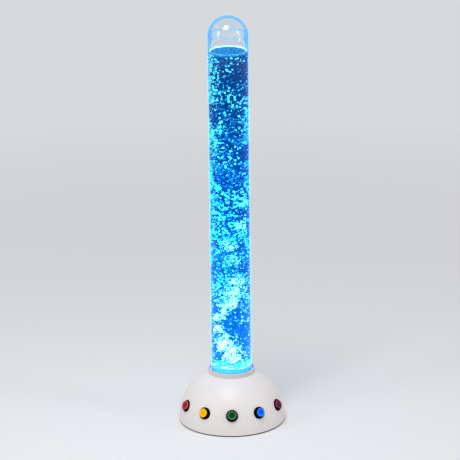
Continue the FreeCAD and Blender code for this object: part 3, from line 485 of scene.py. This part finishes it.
def clear(name, tint, index, mirrored):
    """A clear material that lets light from lamps pass, so that it casts only a faint shadow."""
    material, tree, shader = start(name, tint, 0.0, Transmission_Weight=1.0, IOR=index)
    shader.inputs["Specular Tint"].default_value = (*mirrored, 1)
    open_way = node(tree, "ShaderNodeBsdfTransparent")
    open_way.inputs["Color"].default_value = (*tint, 1)
    mix = node(tree, "ShaderNodeMixShader")
    shadow = node(tree, "ShaderNodeLightPath").outputs["Is Shadow Ray"]
    tree.links.new(shadow, mix.inputs["Fac"])
    tree.links.new(shader.outputs[0], mix.inputs[1])
    tree.links.new(open_way.outputs[0], mix.inputs[2])
    tree.links.new(mix.outputs[0], tree.nodes["Material Output"].inputs["Surface"])
    return material, tree, shader


print("helper: clear finish")

# %% [markdown]
# Blue light from the lamps below runs inside the wall and leaks out all along it, so the wall glows
# most where the eye looks along it, at both edges. Tracing that light would take far too long. The
# Layer Weight node's Facing tells how edge-on the wall is seen, and a ramp over it lights the edges.
# The glow is blue, and bluest above the waterline, where no water scatters it.

# %% Acrylic
ACRYLIC_INDEX = 1.49
ACRYLIC_TINT = (0.95, 0.98, 1.0)
# from a wall seen straight on to one seen along it
ACRYLIC_EDGE = [(0.0, ACRYLIC_TINT), (0.55, (0.88, 0.97, 1.0)),
                (0.60, (0.01, 0.42, 0.80)), (0.74, (0.01, 0.32, 0.75))]
ACRYLIC_GLOW = [(0.62, 0.0), (0.80, 1.0)]
# from the foot of the tube to its rim
WALL_LIGHT = [(0.0, (0.08, 0.55, 1.0)), (0.55, (0.05, 0.6, 1.0)),
              (0.93, (0.03, 0.5, 1.0)), (0.95, (0.0, 0.28, 0.9))]
WET_MIRROR, DRY_MIRROR = (0.02, 0.15, 0.5), (0.45, 0.55, 0.8)
TUBE_MIRROR = [(0.0, WET_MIRROR), (0.87, WET_MIRROR), (0.93, DRY_MIRROR)]
DOME_MIRROR = (0.8, 0.9, 1.0)


def acrylic_finish(name, mirrored, low, high):
    """Clear acrylic that glows along its edges, in a tone that follows the height."""
    material, tree, shader = clear(name, ACRYLIC_TINT, ACRYLIC_INDEX, mirrored)
    edge = node(tree, "ShaderNodeLayerWeight")
    edge.inputs["Blend"].default_value = 0.5
    facing = edge.outputs["Facing"]
    tree.links.new(ramp(tree, facing, ACRYLIC_EDGE), shader.inputs["Base Color"])
    glow = ramp(tree, height_share(tree, low, high), WALL_LIGHT)
    tree.links.new(glow, shader.inputs["Emission Color"])
    tree.links.new(levels(tree, facing, ACRYLIC_GLOW), shader.inputs["Emission Strength"])
    return material, tree, shader


tube_low, tube_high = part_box("tube")
tube_ends = tube_low.z, tube_high.z
tube_acrylic, tube_tree, tube_shader = acrylic_finish("tube_acrylic", WET_MIRROR, *tube_ends)
tube_mirror = ramp(tube_tree, height_share(tube_tree, *tube_ends), TUBE_MIRROR)
tube_tree.links.new(tube_mirror, tube_shader.inputs["Specular Tint"])
dome_acrylic = acrylic_finish("dome_acrylic", DOME_MIRROR, *tube_ends)[0]
print("acrylic glows from", round(tube_low.z, 3), "to", round(tube_high.z, 3), "m")

# %% [markdown]
# The real tube is a length cut from an extruded pipe, and its sawn ends are polished. So its profile
# is a plain upright bar, and only its edges are eased.

# %% The tube
TUBE_RADIUS = tube_high.x
TUBE_WALL = 5 * MM
TUBE_BORE = TUBE_RADIUS - TUBE_WALL
TUBE_EDGE = 0.5 * MM
tube_profile = softened([(TUBE_BORE, tube_low.z), (TUBE_RADIUS, tube_low.z),
                         (TUBE_RADIUS, tube_high.z), (TUBE_BORE, tube_high.z)], TUBE_EDGE)
piece("tube_wall", turned_mesh("tube_wall", tube_profile), tube_acrylic, "lamp",
      ["tube"])
print("tube:", round(tube_high.z - tube_low.z, 3), "m long")

# %% [markdown]
# The cap is blown in one piece: a bowl as wide as the tube, an inner shelf where it meets the tube's
# rim, and a spigot that drops into the bore. A scaled ball would have a wall of uneven thickness, so
# its profile is two arcs about one centre. It sits a hair above the rim, so that both faces show.

# %% The domed cap
cap_low, cap_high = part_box("dome_cap")
RIM = tube_high.z
LIFT = 0.05 * MM
DOME_RISE = cap_high.z - RIM
DOME_RADIUS = (TUBE_RADIUS ** 2 + DOME_RISE ** 2) / (2 * DOME_RISE)
DOME_CENTRE = cap_high.z - DOME_RADIUS
DOME_WALL = 4 * MM
SHELF = 4 * MM
SHELF_ROUND = 0.8 * MM
SPIGOT_OUT = TUBE_BORE - 0.3 * MM
SPIGOT_IN = SPIGOT_OUT - 2.7 * MM
SPIGOT_ROUND = 0.6 * MM


def arc(radius, low, high, steps):
    """Points of a circle about the dome's centre, from one height to another."""
    first, last = (math.asin(max(-1, min(1, (h - DOME_CENTRE) / radius))) for h in (low, high))
    angles = [first + (last - first) * k / steps for k in range(steps + 1)]
    return [(radius * math.cos(angle), DOME_CENTRE + radius * math.sin(angle)) for angle in angles]


outside = arc(DOME_RADIUS, RIM + LIFT, cap_high.z, 40)
inside = arc(DOME_RADIUS - DOME_WALL, RIM + SHELF, cap_high.z - DOME_WALL, 36)
spigot = softened([(SPIGOT_IN, cap_low.z), (SPIGOT_OUT, cap_low.z), (SPIGOT_OUT, RIM + LIFT),
                   (SPIGOT_IN, RIM + LIFT)], SPIGOT_ROUND)
spigot_foot = [point for point in spigot if point.y < RIM - SHELF]
shelf = [(SPIGOT_IN + SHELF_ROUND, RIM + SHELF), (SPIGOT_IN, RIM + SHELF - SHELF_ROUND)]
dome_profile = spigot_foot + [(SPIGOT_OUT, RIM + LIFT)] + outside + inside[::-1] + shelf
piece("dome_cap_clear", turned_mesh("dome_cap_clear", dome_profile), dome_acrylic, "dome",
      ["dome_cap"])
print("dome:", round(DOME_RISE, 3), "m above the rim")

# %% [markdown]
# The light in the wall has to cross the joint between tube and cap, and some of it leaks out there: a
# polished bevel inside the cap's lower edge shows it as a thin blue line. The line is a small ring of
# its own that lies in the cap's wall and lifts off with the cap.

# %% The lit joint
BEVEL = 0.7 * MM
JOINT_FOOT = RIM + 2 * LIFT
joint_finish, joint_tree, joint_shader = start("joint_light", (0.02, 0.2, 0.6), 0.3,
                                               Specular_IOR_Level=0.1)
joint_shader.inputs["Emission Color"].default_value = (0.01, 0.30, 1.0, 1)
joint_shader.inputs["Emission Strength"].default_value = 0.9
pebble(joint_tree, joint_shader, 600, 0.4, 0.3 * MM)
joint_profile = [(TUBE_RADIUS - 2 * BEVEL, JOINT_FOOT), (TUBE_RADIUS - 0.3 * BEVEL, JOINT_FOOT),
                 (TUBE_RADIUS - BEVEL, JOINT_FOOT + BEVEL)]
piece("joint_line", turned_mesh("joint_line", joint_profile), joint_finish, "dome")
print("joint line at", round(RIM, 3), "m")

# %% [markdown]
# ## The water
# Water bends light, so the column acts as a lens and what is inside looks wider than it is. It takes
# up red and green on the way, which leaves a deep blue: an absorbing volume does that. The lamps are
# below, so it is brightest at the foot and darkest near the top. Scattered light in a volume is slow
# and grainy, so a ramp over the height gives the water a faint light of its own instead.

# %% Water
WATER_INDEX = 1.33
WATER_MIRROR = (0.0, 0.1, 0.4)
WATER_SOAKS = (0.03, 0.42, 0.58)
SOAK_DENSITY = 44
# painted light: both ramps run from the foot of the column to its top, mostly paler and brighter at the
# foot, where the lamps are
WATER_TINTS = [(0.0, (0.20, 0.72, 1.0)), (0.3, (0.08, 0.50, 0.98)), (0.6, (0.08, 0.40, 0.90)),
               (0.85, (0.16, 0.36, 0.70)), (1.0, (0.22, 0.42, 0.72))]
WATER_LIGHT = [(0.0, (0.0, 0.22, 0.85)), (0.12, (0.0, 0.15, 0.70)), (0.5, (0.0, 0.06, 0.44)),
               (0.8, (0.0, 0.03, 0.17)), (0.995, (0.0, 0.03, 0.15)), (1.0, (0.0, 0.25, 0.6))]

water_low, water_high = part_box("water_column")
water, water_tree, water_shader = clear("blue_water", (0.3, 0.7, 1.0), WATER_INDEX, WATER_MIRROR)
water_share = height_share(water_tree, water_low.z, water_high.z)
water_tree.links.new(ramp(water_tree, water_share, WATER_TINTS), water_shader.inputs["Base Color"])
water_tree.links.new(ramp(water_tree, water_share, WATER_LIGHT),
                     water_shader.inputs["Emission Color"])
water_shader.inputs["Emission Strength"].default_value = 1.0
soak = node(water_tree, "ShaderNodeVolumeAbsorption")
soak.inputs["Color"].default_value = (*WATER_SOAKS, 1)
soak.inputs["Density"].default_value = SOAK_DENSITY
water_tree.links.new(soak.outputs[0], water_tree.nodes["Material Output"].inputs["Volume"])
print("water from", round(water_low.z, 3), "to", round(water_high.z, 3), "m")

# %% [markdown]
# Water creeps up the wall a little, so the top of the column is a shallow dish. It wets the wall and
# the disc below it, so it reaches a hair's breadth into both: a gap of air would act as a mirror.

# %% The column
WETTED = 0.05 * MM
WATER_RADIUS = TUBE_BORE + WETTED
MENISCUS = 1.6 * MM
CREEP = 14
DISH_STEPS = (1, 0.985, 0.96, 0.92, 0.85, 0.7, 0.4)
dish = [(WATER_RADIUS * r, water_high.z - MENISCUS * (1 - r ** CREEP)) for r in DISH_STEPS]
water_profile = [(0, water_low.z - WETTED), (WATER_RADIUS, water_low.z - WETTED), *dish,
                 (0, water_high.z - MENISCUS)]
piece("water", turned_mesh("water", water_profile), water, "lamp", ["water_column"])
print("water:", round(water_high.z - water_low.z, 3), "m deep")

# %% [markdown]
# ## The bubbles
# Air leaves the stone in the middle of the disc as a dense froth, swings from side to side as it
# climbs and breaks up into single bubbles that fill the tube. A fluid simulation of thousands of
# bubbles would take hours, and a still picture needs only their places, so they are drawn at random
# with a fixed seed. Bubbles gather in loose clumps, which a slow noise over the column gives.

# %% Places in the water
random.seed(11)
# the noise that gives vectors has a seed of its own
noise.seed_set(11)
STONE_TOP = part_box("air_stone")[1].z
WALL_GAP = 0.6 * MM
STONE_GAP = 0.5 * MM
TOP_GAP = 0.4 * MM


def bubble_sizes(count, small, large):
    """Radii with many small and few large ones."""
    return [small + (large - small) * random.random() ** 1.8 for _ in range(count)]


def in_column(angle, reach, height):
    """The point at an angle, a distance from the axis and a share of the height above the stone."""
    return Vector((reach * math.cos(angle), reach * math.sin(angle),
                   STONE_TOP + height * (water_high.z - STONE_TOP)))


def within(point, radius):
    """True where a bubble fits inside the water."""
    side = math.hypot(point.x, point.y)
    return (side + radius < WATER_RADIUS - WALL_GAP and point.z - radius > STONE_TOP + STONE_GAP
            and point.z + radius < water_high.z - MENISCUS - TOP_GAP)


print("bubbles rise from", round(STONE_TOP, 3), "m")

# %% [markdown]
# Single bubbles come in two kinds: those spread all through the water, and those that ride near the
# wall, with the largest among them. Each is tried at a random place and kept if it fits there and if
# the clumps allow it, so that the column has fuller and emptier parts.

# %% Single bubbles
BUBBLE_COUNT = 2200
BUBBLE_RADII = 0.8 * MM, 2.7 * MM
WALL_COUNT = 2600
WALL_RADII_LARGE, WALL_RADII_SMALL = (2.2, 3.2), (0.8, 1.6)
LARGE_SHARE = 0.36
WALL_NEAR, WALL_FAR = 0.8, 12
# clumps a metre, in the column and near the wall
CLUMPS, WALL_CLUMPS = 22, 14
THIN_SHARE = 0.25


def free_bubbles():
    """Bubbles that fill the column, thinner near its foot and its top."""
    found = []
    for radius in bubble_sizes(BUBBLE_COUNT, *BUBBLE_RADII):
        while True:
            height = random.random()
            if random.random() > (1 - height) ** 0.7 or random.random() > 0.4 + height * 2:
                continue
            angle, reach = random.uniform(0, 2 * math.pi), math.sqrt(random.random()) * WATER_RADIUS
            spot = in_column(angle, reach, height)
            clump = noise.noise(spot * CLUMPS) * 0.5 + 0.5
            if random.random() < clump ** 1.5 + 0.12 and within(spot, radius):
                found.append((spot, radius))
                break
    return found


def wall_bubbles():
    """Bubbles that ride near the wall, fewer at the foot and at the top's right side."""
    found = []
    while len(found) < WALL_COUNT:
        radii = WALL_RADII_LARGE if random.random() < LARGE_SHARE else WALL_RADII_SMALL
        radius = random.uniform(*radii) * MM
        angle = random.uniform(0, 2 * math.pi)
        reach = WATER_RADIUS - radius - random.uniform(WALL_NEAR, WALL_FAR) * MM
        height = random.random() ** 0.8
        spot = in_column(angle, reach, height)
        thin = THIN_SHARE if height < 0.2 or spot.x > 0.01 and height > 0.9 else 1
        clump = (0.35 + noise.noise(spot * WALL_CLUMPS)) * 2
        if random.random() < thin * clump and within(spot, radius):
            found.append((spot, radius))
    return found


free = free_bubbles() + wall_bubbles()
print("single bubbles:", len(free))

# %% [markdown]
# The froth is a chain of clouds that follows the swing. Each cloud has a soft round spread, a noise
# pulls it into wisps, and a finer noise tears holes in it.

# %% Froth
FROTH_COUNT = 4200
FROTH_RADII = 0.6 * MM, 1.9 * MM
FROTH_TRIES = 40
# wisps and holes a metre
WISPS, WISP_PULL = 60, 0.8
HOLES = 85
# in mm: height over the stone, sideways, depth, spread, and the cloud's share of the froth
SWING = [(8, 0, -4, 18, 0.04), (22, 3, -14, 24, 0.10), (46, -6, -18, 18, 0.09),
         (70, -17, -16, 16, 0.09), (105, -28, -10, 13, 0.07), (140, -29, -4, 13, 0.07),
         (170, -14, -14, 14, 0.07), (195, 2, -20, 16, 0.10), (225, 10, -20, 17, 0.11),
         (262, 16, -14, 18, 0.07), (320, 6, 4, 22, 0.05), (370, -4, -12, 22, 0.04),
         (430, 26, -12, 17, 0.05), (500, 30, -8, 17, 0.03)]


def froth_bubbles():
    """Fine bubbles in clouds along the froth's swing."""
    found = []
    for rise, across, depth, spread, part in SWING:
        middle = Vector((across * MM, depth * MM, STONE_TOP + rise * MM))
        for radius in bubble_sizes(int(FROTH_COUNT * part), *FROTH_RADII):
            for _ in range(FROTH_TRIES):
                offset = Vector([random.gauss(0, 0.5) for _ in range(3)]) * spread * MM
                wisp = Vector(noise.noise_vector((middle + offset) * WISPS)) * spread * MM * WISP_PULL
                spot = middle + offset + wisp
                if noise.noise(spot * HOLES) > 0 and within(spot, radius):
                    found.append((spot, radius))
                    break
    return found


froth = froth_bubbles()
print("froth bubbles:", len(froth))

# %% [markdown]
# A rising bubble is a little flattened, so each is a ball squashed by a fifth and tilted at random.
# Thousands of separate objects would be slow, so all the balls of one kind go into one mesh, and
# large bubbles get more faces than small ones.

# %% Bubble meshes
FLATTENED = 0.8
LEAN = 0.3
LARGE_BUBBLE = 1.9 * MM


def ball_template(level):
    """Corners and faces of a unit ball."""
    mesh = bmesh.new()
    bmesh.ops.create_icosphere(mesh, subdivisions=level, radius=1)
    corners = [v.co.copy() for v in mesh.verts]
    faces = [[v.index for v in f.verts] for f in mesh.faces]
    mesh.free()
    return corners, faces


SMALL_BALL, LARGE_BALL = ball_template(1), ball_template(2)


def bubble_mesh(name, bubbles):
    """One mesh of many flattened balls."""
    corners, faces = [], []
    for spot, radius in bubbles:
        shape, sides = LARGE_BALL if radius > LARGE_BUBBLE else SMALL_BALL
        lean = Euler([random.gauss(0, LEAN) for _ in range(3)]).to_matrix()
        first = len(corners)
        for corner in shape:
            flat = Vector((corner.x, corner.y, corner.z * FLATTENED))
            corners.append(spot + lean @ (flat * radius))
        faces.extend([first + k for k in side] for side in sides)
    data = bpy.data.meshes.new(name)
    data.from_pydata(corners, [], faces)
    data.polygons.foreach_set("use_smooth", [True] * len(faces))
    return data


print("faces of a small ball:", len(SMALL_BALL[1]), "and of a large one:", len(LARGE_BALL[1]))

# %% [markdown]
# Air in water bends light away, so a bubble lit from below shows a bright rim round a clearer middle.
# Real refraction in thousands of bubbles would be slow and noisy. So each bubble shines by itself:
# more at its rim, more on its lower side, by an amount of its own, and in a tone that follows the
# height. Near the foot it is white, and above it is cyan. The froth stays white for longer.

# %% Bubble finish
BUBBLE_LIGHT = [(0.0, (1.0, 1.0, 1.0)), (0.1, (0.8, 1.0, 1.0)), (0.3, (0.16, 0.95, 1.0)),
                (0.5, (0.12, 0.95, 0.95)), (0.8, (0.14, 0.90, 0.90)), (1.0, (0.14, 0.85, 0.85))]
FROTH_LIGHT = [(0.0, (1.0, 1.0, 1.0)), (0.35, (1.0, 1.0, 1.0)), (0.5, (0.4, 1.0, 1.0)),
               (0.7, (0.05, 0.9, 1.0))]
BUBBLE_STRENGTH = [(0.0, 18.0), (0.1, 13.0), (0.3, 13.0), (0.5, 21.0), (0.8, 19.0), (1.0, 11.0)]
BUBBLE_RIM = [(0.05, 0.015), (0.2, 0.15), (0.4, 1.0)]
OWN_SHARE = [(0.35, 0.3), (0.65, 1.0)]
UPPER_SIDE = 0.45
BUBBLE_GAIN, FROTH_GAIN = 1.0, 2.8


def bubble_finish(name, tones, gain):
    """Air in water: a bright rim round a clearer middle, brightest where it faces the lamps below."""
    material, tree, shader = start(name, (0.02, 0.2, 0.5), 0.3, Specular_IOR_Level=0.0)
    share = height_share(tree, STONE_TOP, water_high.z)
    tree.links.new(ramp(tree, share, tones), shader.inputs["Emission Color"])
    facing = node(tree, "ShaderNodeLayerWeight").outputs["Facing"]
    ring = levels(tree, facing, BUBBLE_RIM)
    upright = node(tree, "ShaderNodeSeparateXYZ")
    tree.links.new(node(tree, "ShaderNodeNewGeometry").outputs["Normal"], upright.inputs[0])
    below = stretch(tree, upright.outputs["Z"], 1, -1, UPPER_SIDE)
    own = levels(tree, speckle(tree, 260, 1), OWN_SHARE)
    light = maths(tree, "MULTIPLY", maths(tree, "MULTIPLY", ring, below),
                  maths(tree, "MULTIPLY", own, levels(tree, share, BUBBLE_STRENGTH)))
    tree.links.new(maths(tree, "MULTIPLY", light, gain), shader.inputs["Emission Strength"])
    # no lamp rays are sent to thousands of tiny faces
    material.cycles.emission_sampling = "NONE"
    return material


bubble_air = bubble_finish("bubble_air", BUBBLE_LIGHT, BUBBLE_GAIN)
froth_air = bubble_finish("froth_air", FROTH_LIGHT, FROTH_GAIN)
middle_height = (STONE_TOP + water_high.z) / 2
lower_bubbles = [bubble for bubble in free if bubble[0].z < middle_height]
upper_bubbles = [bubble for bubble in free if bubble[0].z >= middle_height]
for name, bubbles, finish in (("bubbles_lower", lower_bubbles, bubble_air),
                              ("bubbles_upper", upper_bubbles, bubble_air),
                              ("froth", froth, froth_air)):
    piece(name, bubble_mesh(name, bubbles), finish, "lamp")

# %% [markdown]
# ## The waterline
# Where the bubbles burst they leave a thin layer of froth over the water. It climbs the wall as a
# skin, so it is a disc with a thin upright edge. Its light is painted: a dark blue base and a dim,
# mottled blue glow on its shader, dim because it is seen from above, away from the lamps.

# %% Surface froth
FOAM_TOP = water_high.z - 1.0 * MM
FOAM_DEEP = 1.2 * MM
FOAM_REACH = TUBE_BORE + 0.04 * MM
LIP_TOP = water_high.z + 2.4 * MM
SKIN = 0.3 * MM
FOAM_GLOW_TONES = [(0.42, (0.0, 0.08, 0.50)), (0.50, (0.0, 0.20, 0.75)), (0.56, (0.0, 0.55, 0.90)),
              (0.64, (0.1, 0.9, 1.0))]

foam, foam_tree, foam_shader = start("surface_froth", (0.0, 0.02, 0.12), 0.5, Specular_IOR_Level=0.0)
# painted light: a mottled blue glow on the froth
foam_glow = ramp(foam_tree, speckle(foam_tree, 210, 2), FOAM_GLOW_TONES)
foam_tree.links.new(foam_glow, foam_shader.inputs["Emission Color"])
foam_shader.inputs["Emission Strength"].default_value = 0.7
pebble(foam_tree, foam_shader, 700, 0.6, 0.6 * MM)
foam_profile = [(0, FOAM_TOP - FOAM_DEEP), (FOAM_REACH, FOAM_TOP - FOAM_DEEP), (FOAM_REACH, LIP_TOP),
                (FOAM_REACH - SKIN, LIP_TOP), (FOAM_REACH - SKIN, FOAM_TOP), (0, FOAM_TOP)]
piece("surface_froth", turned_mesh("surface_froth", foam_profile), foam, "lamp")

# %% [markdown]
# Inside the skin the froth is heaped against the wall. The lip's inner side catches the light, and
# from a little above only its far half is seen, as a bright line. So the lip is a small wedge that
# shines with a painted highlight on its shader, and the darker skin in front of it hides its near half.

# %% The bright lip
LIP_WIDE = 2.0 * MM
LIP_OVER = 0.3 * MM
LIP_ROUND = 0.2 * MM
LIP_FOOT = FOAM_TOP + 0.05 * MM
lip_finish, lip_tree, lip_shader = start("waterline_froth_highlight", (0.6, 0.9, 1.0), 0.2)
# painted highlight: the lip glows on its own shader
lip_shader.inputs["Emission Color"].default_value = (0.14, 0.85, 0.95, 1)
lip_shader.inputs["Emission Strength"].default_value = 1.7
pebble(lip_tree, lip_shader, 900, 0.6, 0.6 * MM)
lip_profile = softened([
    (FOAM_REACH - LIP_WIDE, LIP_FOOT), (FOAM_REACH - SKIN, LIP_FOOT),
    (FOAM_REACH - SKIN, LIP_TOP + LIP_OVER), (FOAM_REACH - 2 * SKIN, LIP_TOP + LIP_OVER)], LIP_ROUND)
piece("waterline", turned_mesh("waterline", lip_profile), lip_finish, "lamp")
print("waterline at", round(water_high.z, 3), "m")

# %% [markdown]
# ## The lit foot
# A thick clear disc closes the tube. The lamps shine up through it, so it is the brightest piece, and
# that light is painted as a glow on its shader: its top face is cyan with white patches of painted
# glint, and its side is deep blue with a lighter band and a dark band of painted shade along its top.
# The imported disc keeps its shape, and a test of the height picks the tone for the face or for the
# side.

# %% End disc
# painted light and shade: glow tones for the side and the face of the disc
DISC_SIDE_GLOW = [(0.35, (0.0, 0.12, 0.8)), (0.5, (0.0, 0.38, 1.0)), (0.66, (0.0, 0.33, 0.95)),
              (0.74, (0.0, 0.07, 0.8))]
DISC_FACE_GLOW = [(0.34, (0.0, 0.42, 1.0)), (0.46, (0.05, 0.80, 1.0)), (0.62, (1.0, 1.0, 1.0))]
FACE_FROM = 0.98
DISC_STRENGTH = [(0.9, 1.0), (FACE_FROM, 7.0)]

disc_low, disc_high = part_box("tube_end_disc")
lit, lit_tree, lit_shader = start("lit_disc", (0.10, 0.55, 0.9), 0.12)
disc_share = height_share(lit_tree, disc_low.z, disc_high.z)
disc_glow = node(lit_tree, "ShaderNodeMix", data_type="RGBA")
lit_tree.links.new(maths(lit_tree, "GREATER_THAN", disc_share, FACE_FROM), disc_glow.inputs["Factor"])
# sockets 6 and 7 of this node are its two colours, and output 2 is the mixed one
lit_tree.links.new(ramp(lit_tree, disc_share, DISC_SIDE_GLOW), disc_glow.inputs[6])
lit_tree.links.new(ramp(lit_tree, speckle(lit_tree, 60, 4), DISC_FACE_GLOW), disc_glow.inputs[7])
lit_tree.links.new(disc_glow.outputs[2], lit_shader.inputs["Emission Color"])
lit_tree.links.new(levels(lit_tree, disc_share, DISC_STRENGTH), lit_shader.inputs["Emission Strength"])
pebble(lit_tree, lit_shader, 120, 0.3, 2 * MM)
dress(lit, "tube_end_disc")
print("disc:", round((disc_high.z - disc_low.z) / MM, 1), "mm thick")

# %% [markdown]
# Under the disc sits a ring of small lamps with clear domed lenses. Their light is set on the shader,
# since each is far too small to need a lamp object. The drain plug is dark blue rubber.

# %% Lamps and plug
led_finish, led_tree, led_shader = start("led_lens", (0.6, 0.9, 1.0), 0.2)
led_shader.inputs["Emission Color"].default_value = (0.05, 0.6, 1.0, 1)
led_shader.inputs["Emission Strength"].default_value = 6
scuff(led_tree, led_shader, 0.15, 0.25, 400)
pebble(led_tree, led_shader, 900, 0.2, 0.2 * MM)
dress(led_finish, "led_chips")
dress(moulded("blue_plug", (0.002, 0.006, 0.12), 0.4), "drain_plug")

# %% [markdown]
# ## The moulded base
# A warm white moulding with a soft pebble, a collar of the same white plastic painted greyer as shade,
# and a black rubber foot. The imported pieces have the right shapes, so they only need finishes. Under
# soft light a colour looks about as written.

# %% White mouldings
dress(moulded("shell_white", (0.78, 0.735, 0.71), 0.42), "base_shell")
# painted shade: the collar is set greyer than the shell's white, as the shade it lies in
dress(moulded("collar_white", (0.66, 0.61, 0.58), 0.4), "collar_ring")
dress(moulded("socket_white", (0.7, 0.7, 0.7), 0.5), "tube_socket", "check_valve")

# %% [markdown]
# Rubber is close to black and matt, with a coarser and deeper grain than the white mouldings. Here it
# is set almost black, so that the foot ring also gives the dark line of shade under the rim: real black
# rubber with painted shade.

# %% Rubber and black mouldings
# painted shade in part: almost black, so the foot ring also reads as the shadow line under the rim
black_rubber = moulded("black_rubber", (0.004, 0.004, 0.0045), 0.6, 900, 0.3, Specular_IOR_Level=0.2)
dress(black_rubber, "foot_ring", "pump_feet")
dress(moulded("grey_rubber", (0.12, 0.12, 0.125), 0.6), "tube_gasket")
dress(moulded("black_moulding", (0.02, 0.02, 0.022), 0.5), "base_plate", "button_nuts", "valve_box")

# %% [markdown]
# ## The buttons
# Each button is a coloured cap in a black bezel. The cap is clear coloured plastic with a faint painted
# glow in its own colours. It is paler round its rim, a painted highlight where light leaves the edge,
# and darker over the middle. Its outer edge is painted dark as the bezel's shade. The caps face five
# ways, so each finish measures how far a point lies from its own cap's axis, a line from the base's
# centre, and a ramp over that distance sets the tone.

# %% Bezels
bezel_black = moulded("bezel_black", (0.001, 0.001, 0.0012), 0.25, 1800, 0.03, Specular_IOR_Level=0.04)
dress(bezel_black, "button_bezels", "dc_inlet")

# %% [markdown]
# The distance of a point from a line is the length of the cross product of the point, measured from
# somewhere on the line, with the line's direction.

# %% Caps
# for each button: the colour of its face, its middle and the painted highlight round its rim
CAP_COLOURS = {
    "red": ((0.44, 0.0, 0.004), (0.24, 0.0, 0.003), (0.52, 0.06, 0.07)),
    "yellow": ((1.0, 0.43, 0.0), (0.92, 0.34, 0.0), (1.0, 0.52, 0.02)),
    "green": ((0.003, 0.10, 0.005), (0.002, 0.05, 0.004), (0.14, 0.30, 0.26)),
    "blue": ((0.0, 0.16, 1.0), (0.0, 0.08, 0.65), (0.01, 0.26, 1.0)),
    "purple": ((0.12, 0.0, 0.02), (0.05, 0.0, 0.014), (0.20, 0.03, 0.10)),
}
BALL_CENTRE = Vector((0, 0, 8.5 * MM))
CAP_RADIUS = 14.2 * MM
# painted shade: the bezel's shade on the cap's outer edge
CAP_EDGE_SHADE = (0.002, 0.002, 0.002)
# painted light: the caps glow faintly in their own tones
CAP_PAINTED_GLOW = 0.12


def cap_finish(colour_name, face, middle, ring):
    """Clear coloured plastic with a faint painted glow, a painted highlight towards the rim of its own
    round face and painted shade at its edge.
    """
    material, tree, shader = start(f"cap_{colour_name}", face, 0.25, Specular_IOR_Level=0.06)
    low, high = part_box(f"button_{colour_name}")
    outward = ((low + high) / 2 - BALL_CENTRE).normalized()
    away = vector_maths(tree, "SUBTRACT", place(tree), BALL_CENTRE)
    off_axis = vector_maths(tree, "LENGTH", vector_maths(tree, "CROSS_PRODUCT", away, outward))
    share = maths(tree, "DIVIDE", off_axis, CAP_RADIUS)
    tone = ramp(tree, share, [(0.40, middle), (0.50, face), (0.76, face), (0.81, ring),
                              (0.88, ring), (0.93, CAP_EDGE_SHADE)])
    tree.links.new(tone, shader.inputs["Base Color"])
    tree.links.new(tone, shader.inputs["Emission Color"])
    shader.inputs["Emission Strength"].default_value = CAP_PAINTED_GLOW
    return material


for colour_name, tones in CAP_COLOURS.items():
    dress(cap_finish(colour_name, *tones), f"button_{colour_name}")

# %% [markdown]
# ## Inside the base
# These pieces show only from below or with the base opened. They get plain working finishes: bare
# metal, circuit board, coil wire, and the milky silicone of an air line.

# %% Metal pieces
steel = moulded("screw_steel", (0.55, 0.55, 0.57), 0.3, Metallic=1.0)
dress(steel, "socket_screws", "led_board_screws", "plate_screws", "control_screws", "pump_screws",
      "lever_pin")
nickel = moulded("nickel", (0.62, 0.6, 0.56), 0.25, Metallic=1.0)
dress(nickel, "air_nozzle", "nozzle_nut", "inlet_nut")
pump_steel = moulded("pump_steel", (0.3, 0.3, 0.31), 0.4, Metallic=1.0)
dress(pump_steel, "pump_lever", "pump_core")
copper = moulded("copper_winding", (0.65, 0.25, 0.1), 0.35, 500, 0.8, Metallic=1.0)
dress(copper, "pump_coil")

# %% [markdown]
# The rest isn't metal. The air stone is sintered grit, so its grain is coarse and deep.

# %% Boards, pump and air line
dress(moulded("air_stone_grit", (0.55, 0.6, 0.62), 0.9, 700, 0.8), "air_stone")
dress(moulded("circuit_green", (0.01, 0.12, 0.05), 0.35), "control_board")
dress(moulded("circuit_white", (0.75, 0.75, 0.75), 0.4), "led_board")
dress(moulded("component_black", (0.015, 0.015, 0.015), 0.4), "control_parts", "button_switches")
dress(moulded("pump_grey", (0.09, 0.095, 0.1), 0.5), "pump_tray", "pump_cover")
dress(moulded("magnet_grey", (0.1, 0.1, 0.105), 0.55), "lever_magnet")
dress(moulded("silicone", (0.7, 0.72, 0.73), 0.35), "air_hose_lower", "air_hose_upper")

# %% [markdown]
# The pump's rubber bellows is soft: the lever squeezes it. A rigid piece would run into the lever, so
# it is a pleated piece of its own, whose pleats narrow from its foot to its top. It is turned about
# the lamp's axis and then moved to its place.

# %% Bellows
bellows_low, bellows_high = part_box("bellows")
bellows_tall = bellows_high.z - bellows_low.z
PLEATS, PLEAT_STEPS = 3, 8
PLEAT_POINTS = PLEATS * PLEAT_STEPS
RIM_RADIUS, WAIST_RADIUS = (bellows_high.x - bellows_low.x) / 2, 10 * MM
BELLOWS_STEPS = 48
pleated = []
for step in range(PLEAT_POINTS + 1):
    swell = 0.5 + 0.5 * math.cos(2 * math.pi * step / PLEAT_STEPS)
    taper = RIM_RADIUS - (RIM_RADIUS - WAIST_RADIUS) * step / PLEAT_POINTS
    pleated.append((WAIST_RADIUS + (taper - WAIST_RADIUS) * swell,
                    bellows_low.z + bellows_tall * step / PLEAT_POINTS))
bellows_data = turned_mesh(
    "pump_bellows", [(0, bellows_low.z), *pleated, (0, bellows_high.z)], BELLOWS_STEPS)
bellows_data.transform(Matrix.Translation(
    ((bellows_low.x + bellows_high.x) / 2, (bellows_low.y + bellows_high.y) / 2, 0)))
bellows = piece("pump_bellows", bellows_data, black_rubber, "lamp", ["bellows"])
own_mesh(bellows)
print("bellows:", PLEATS, "pleats,", round(bellows_tall / MM, 1), "mm tall")
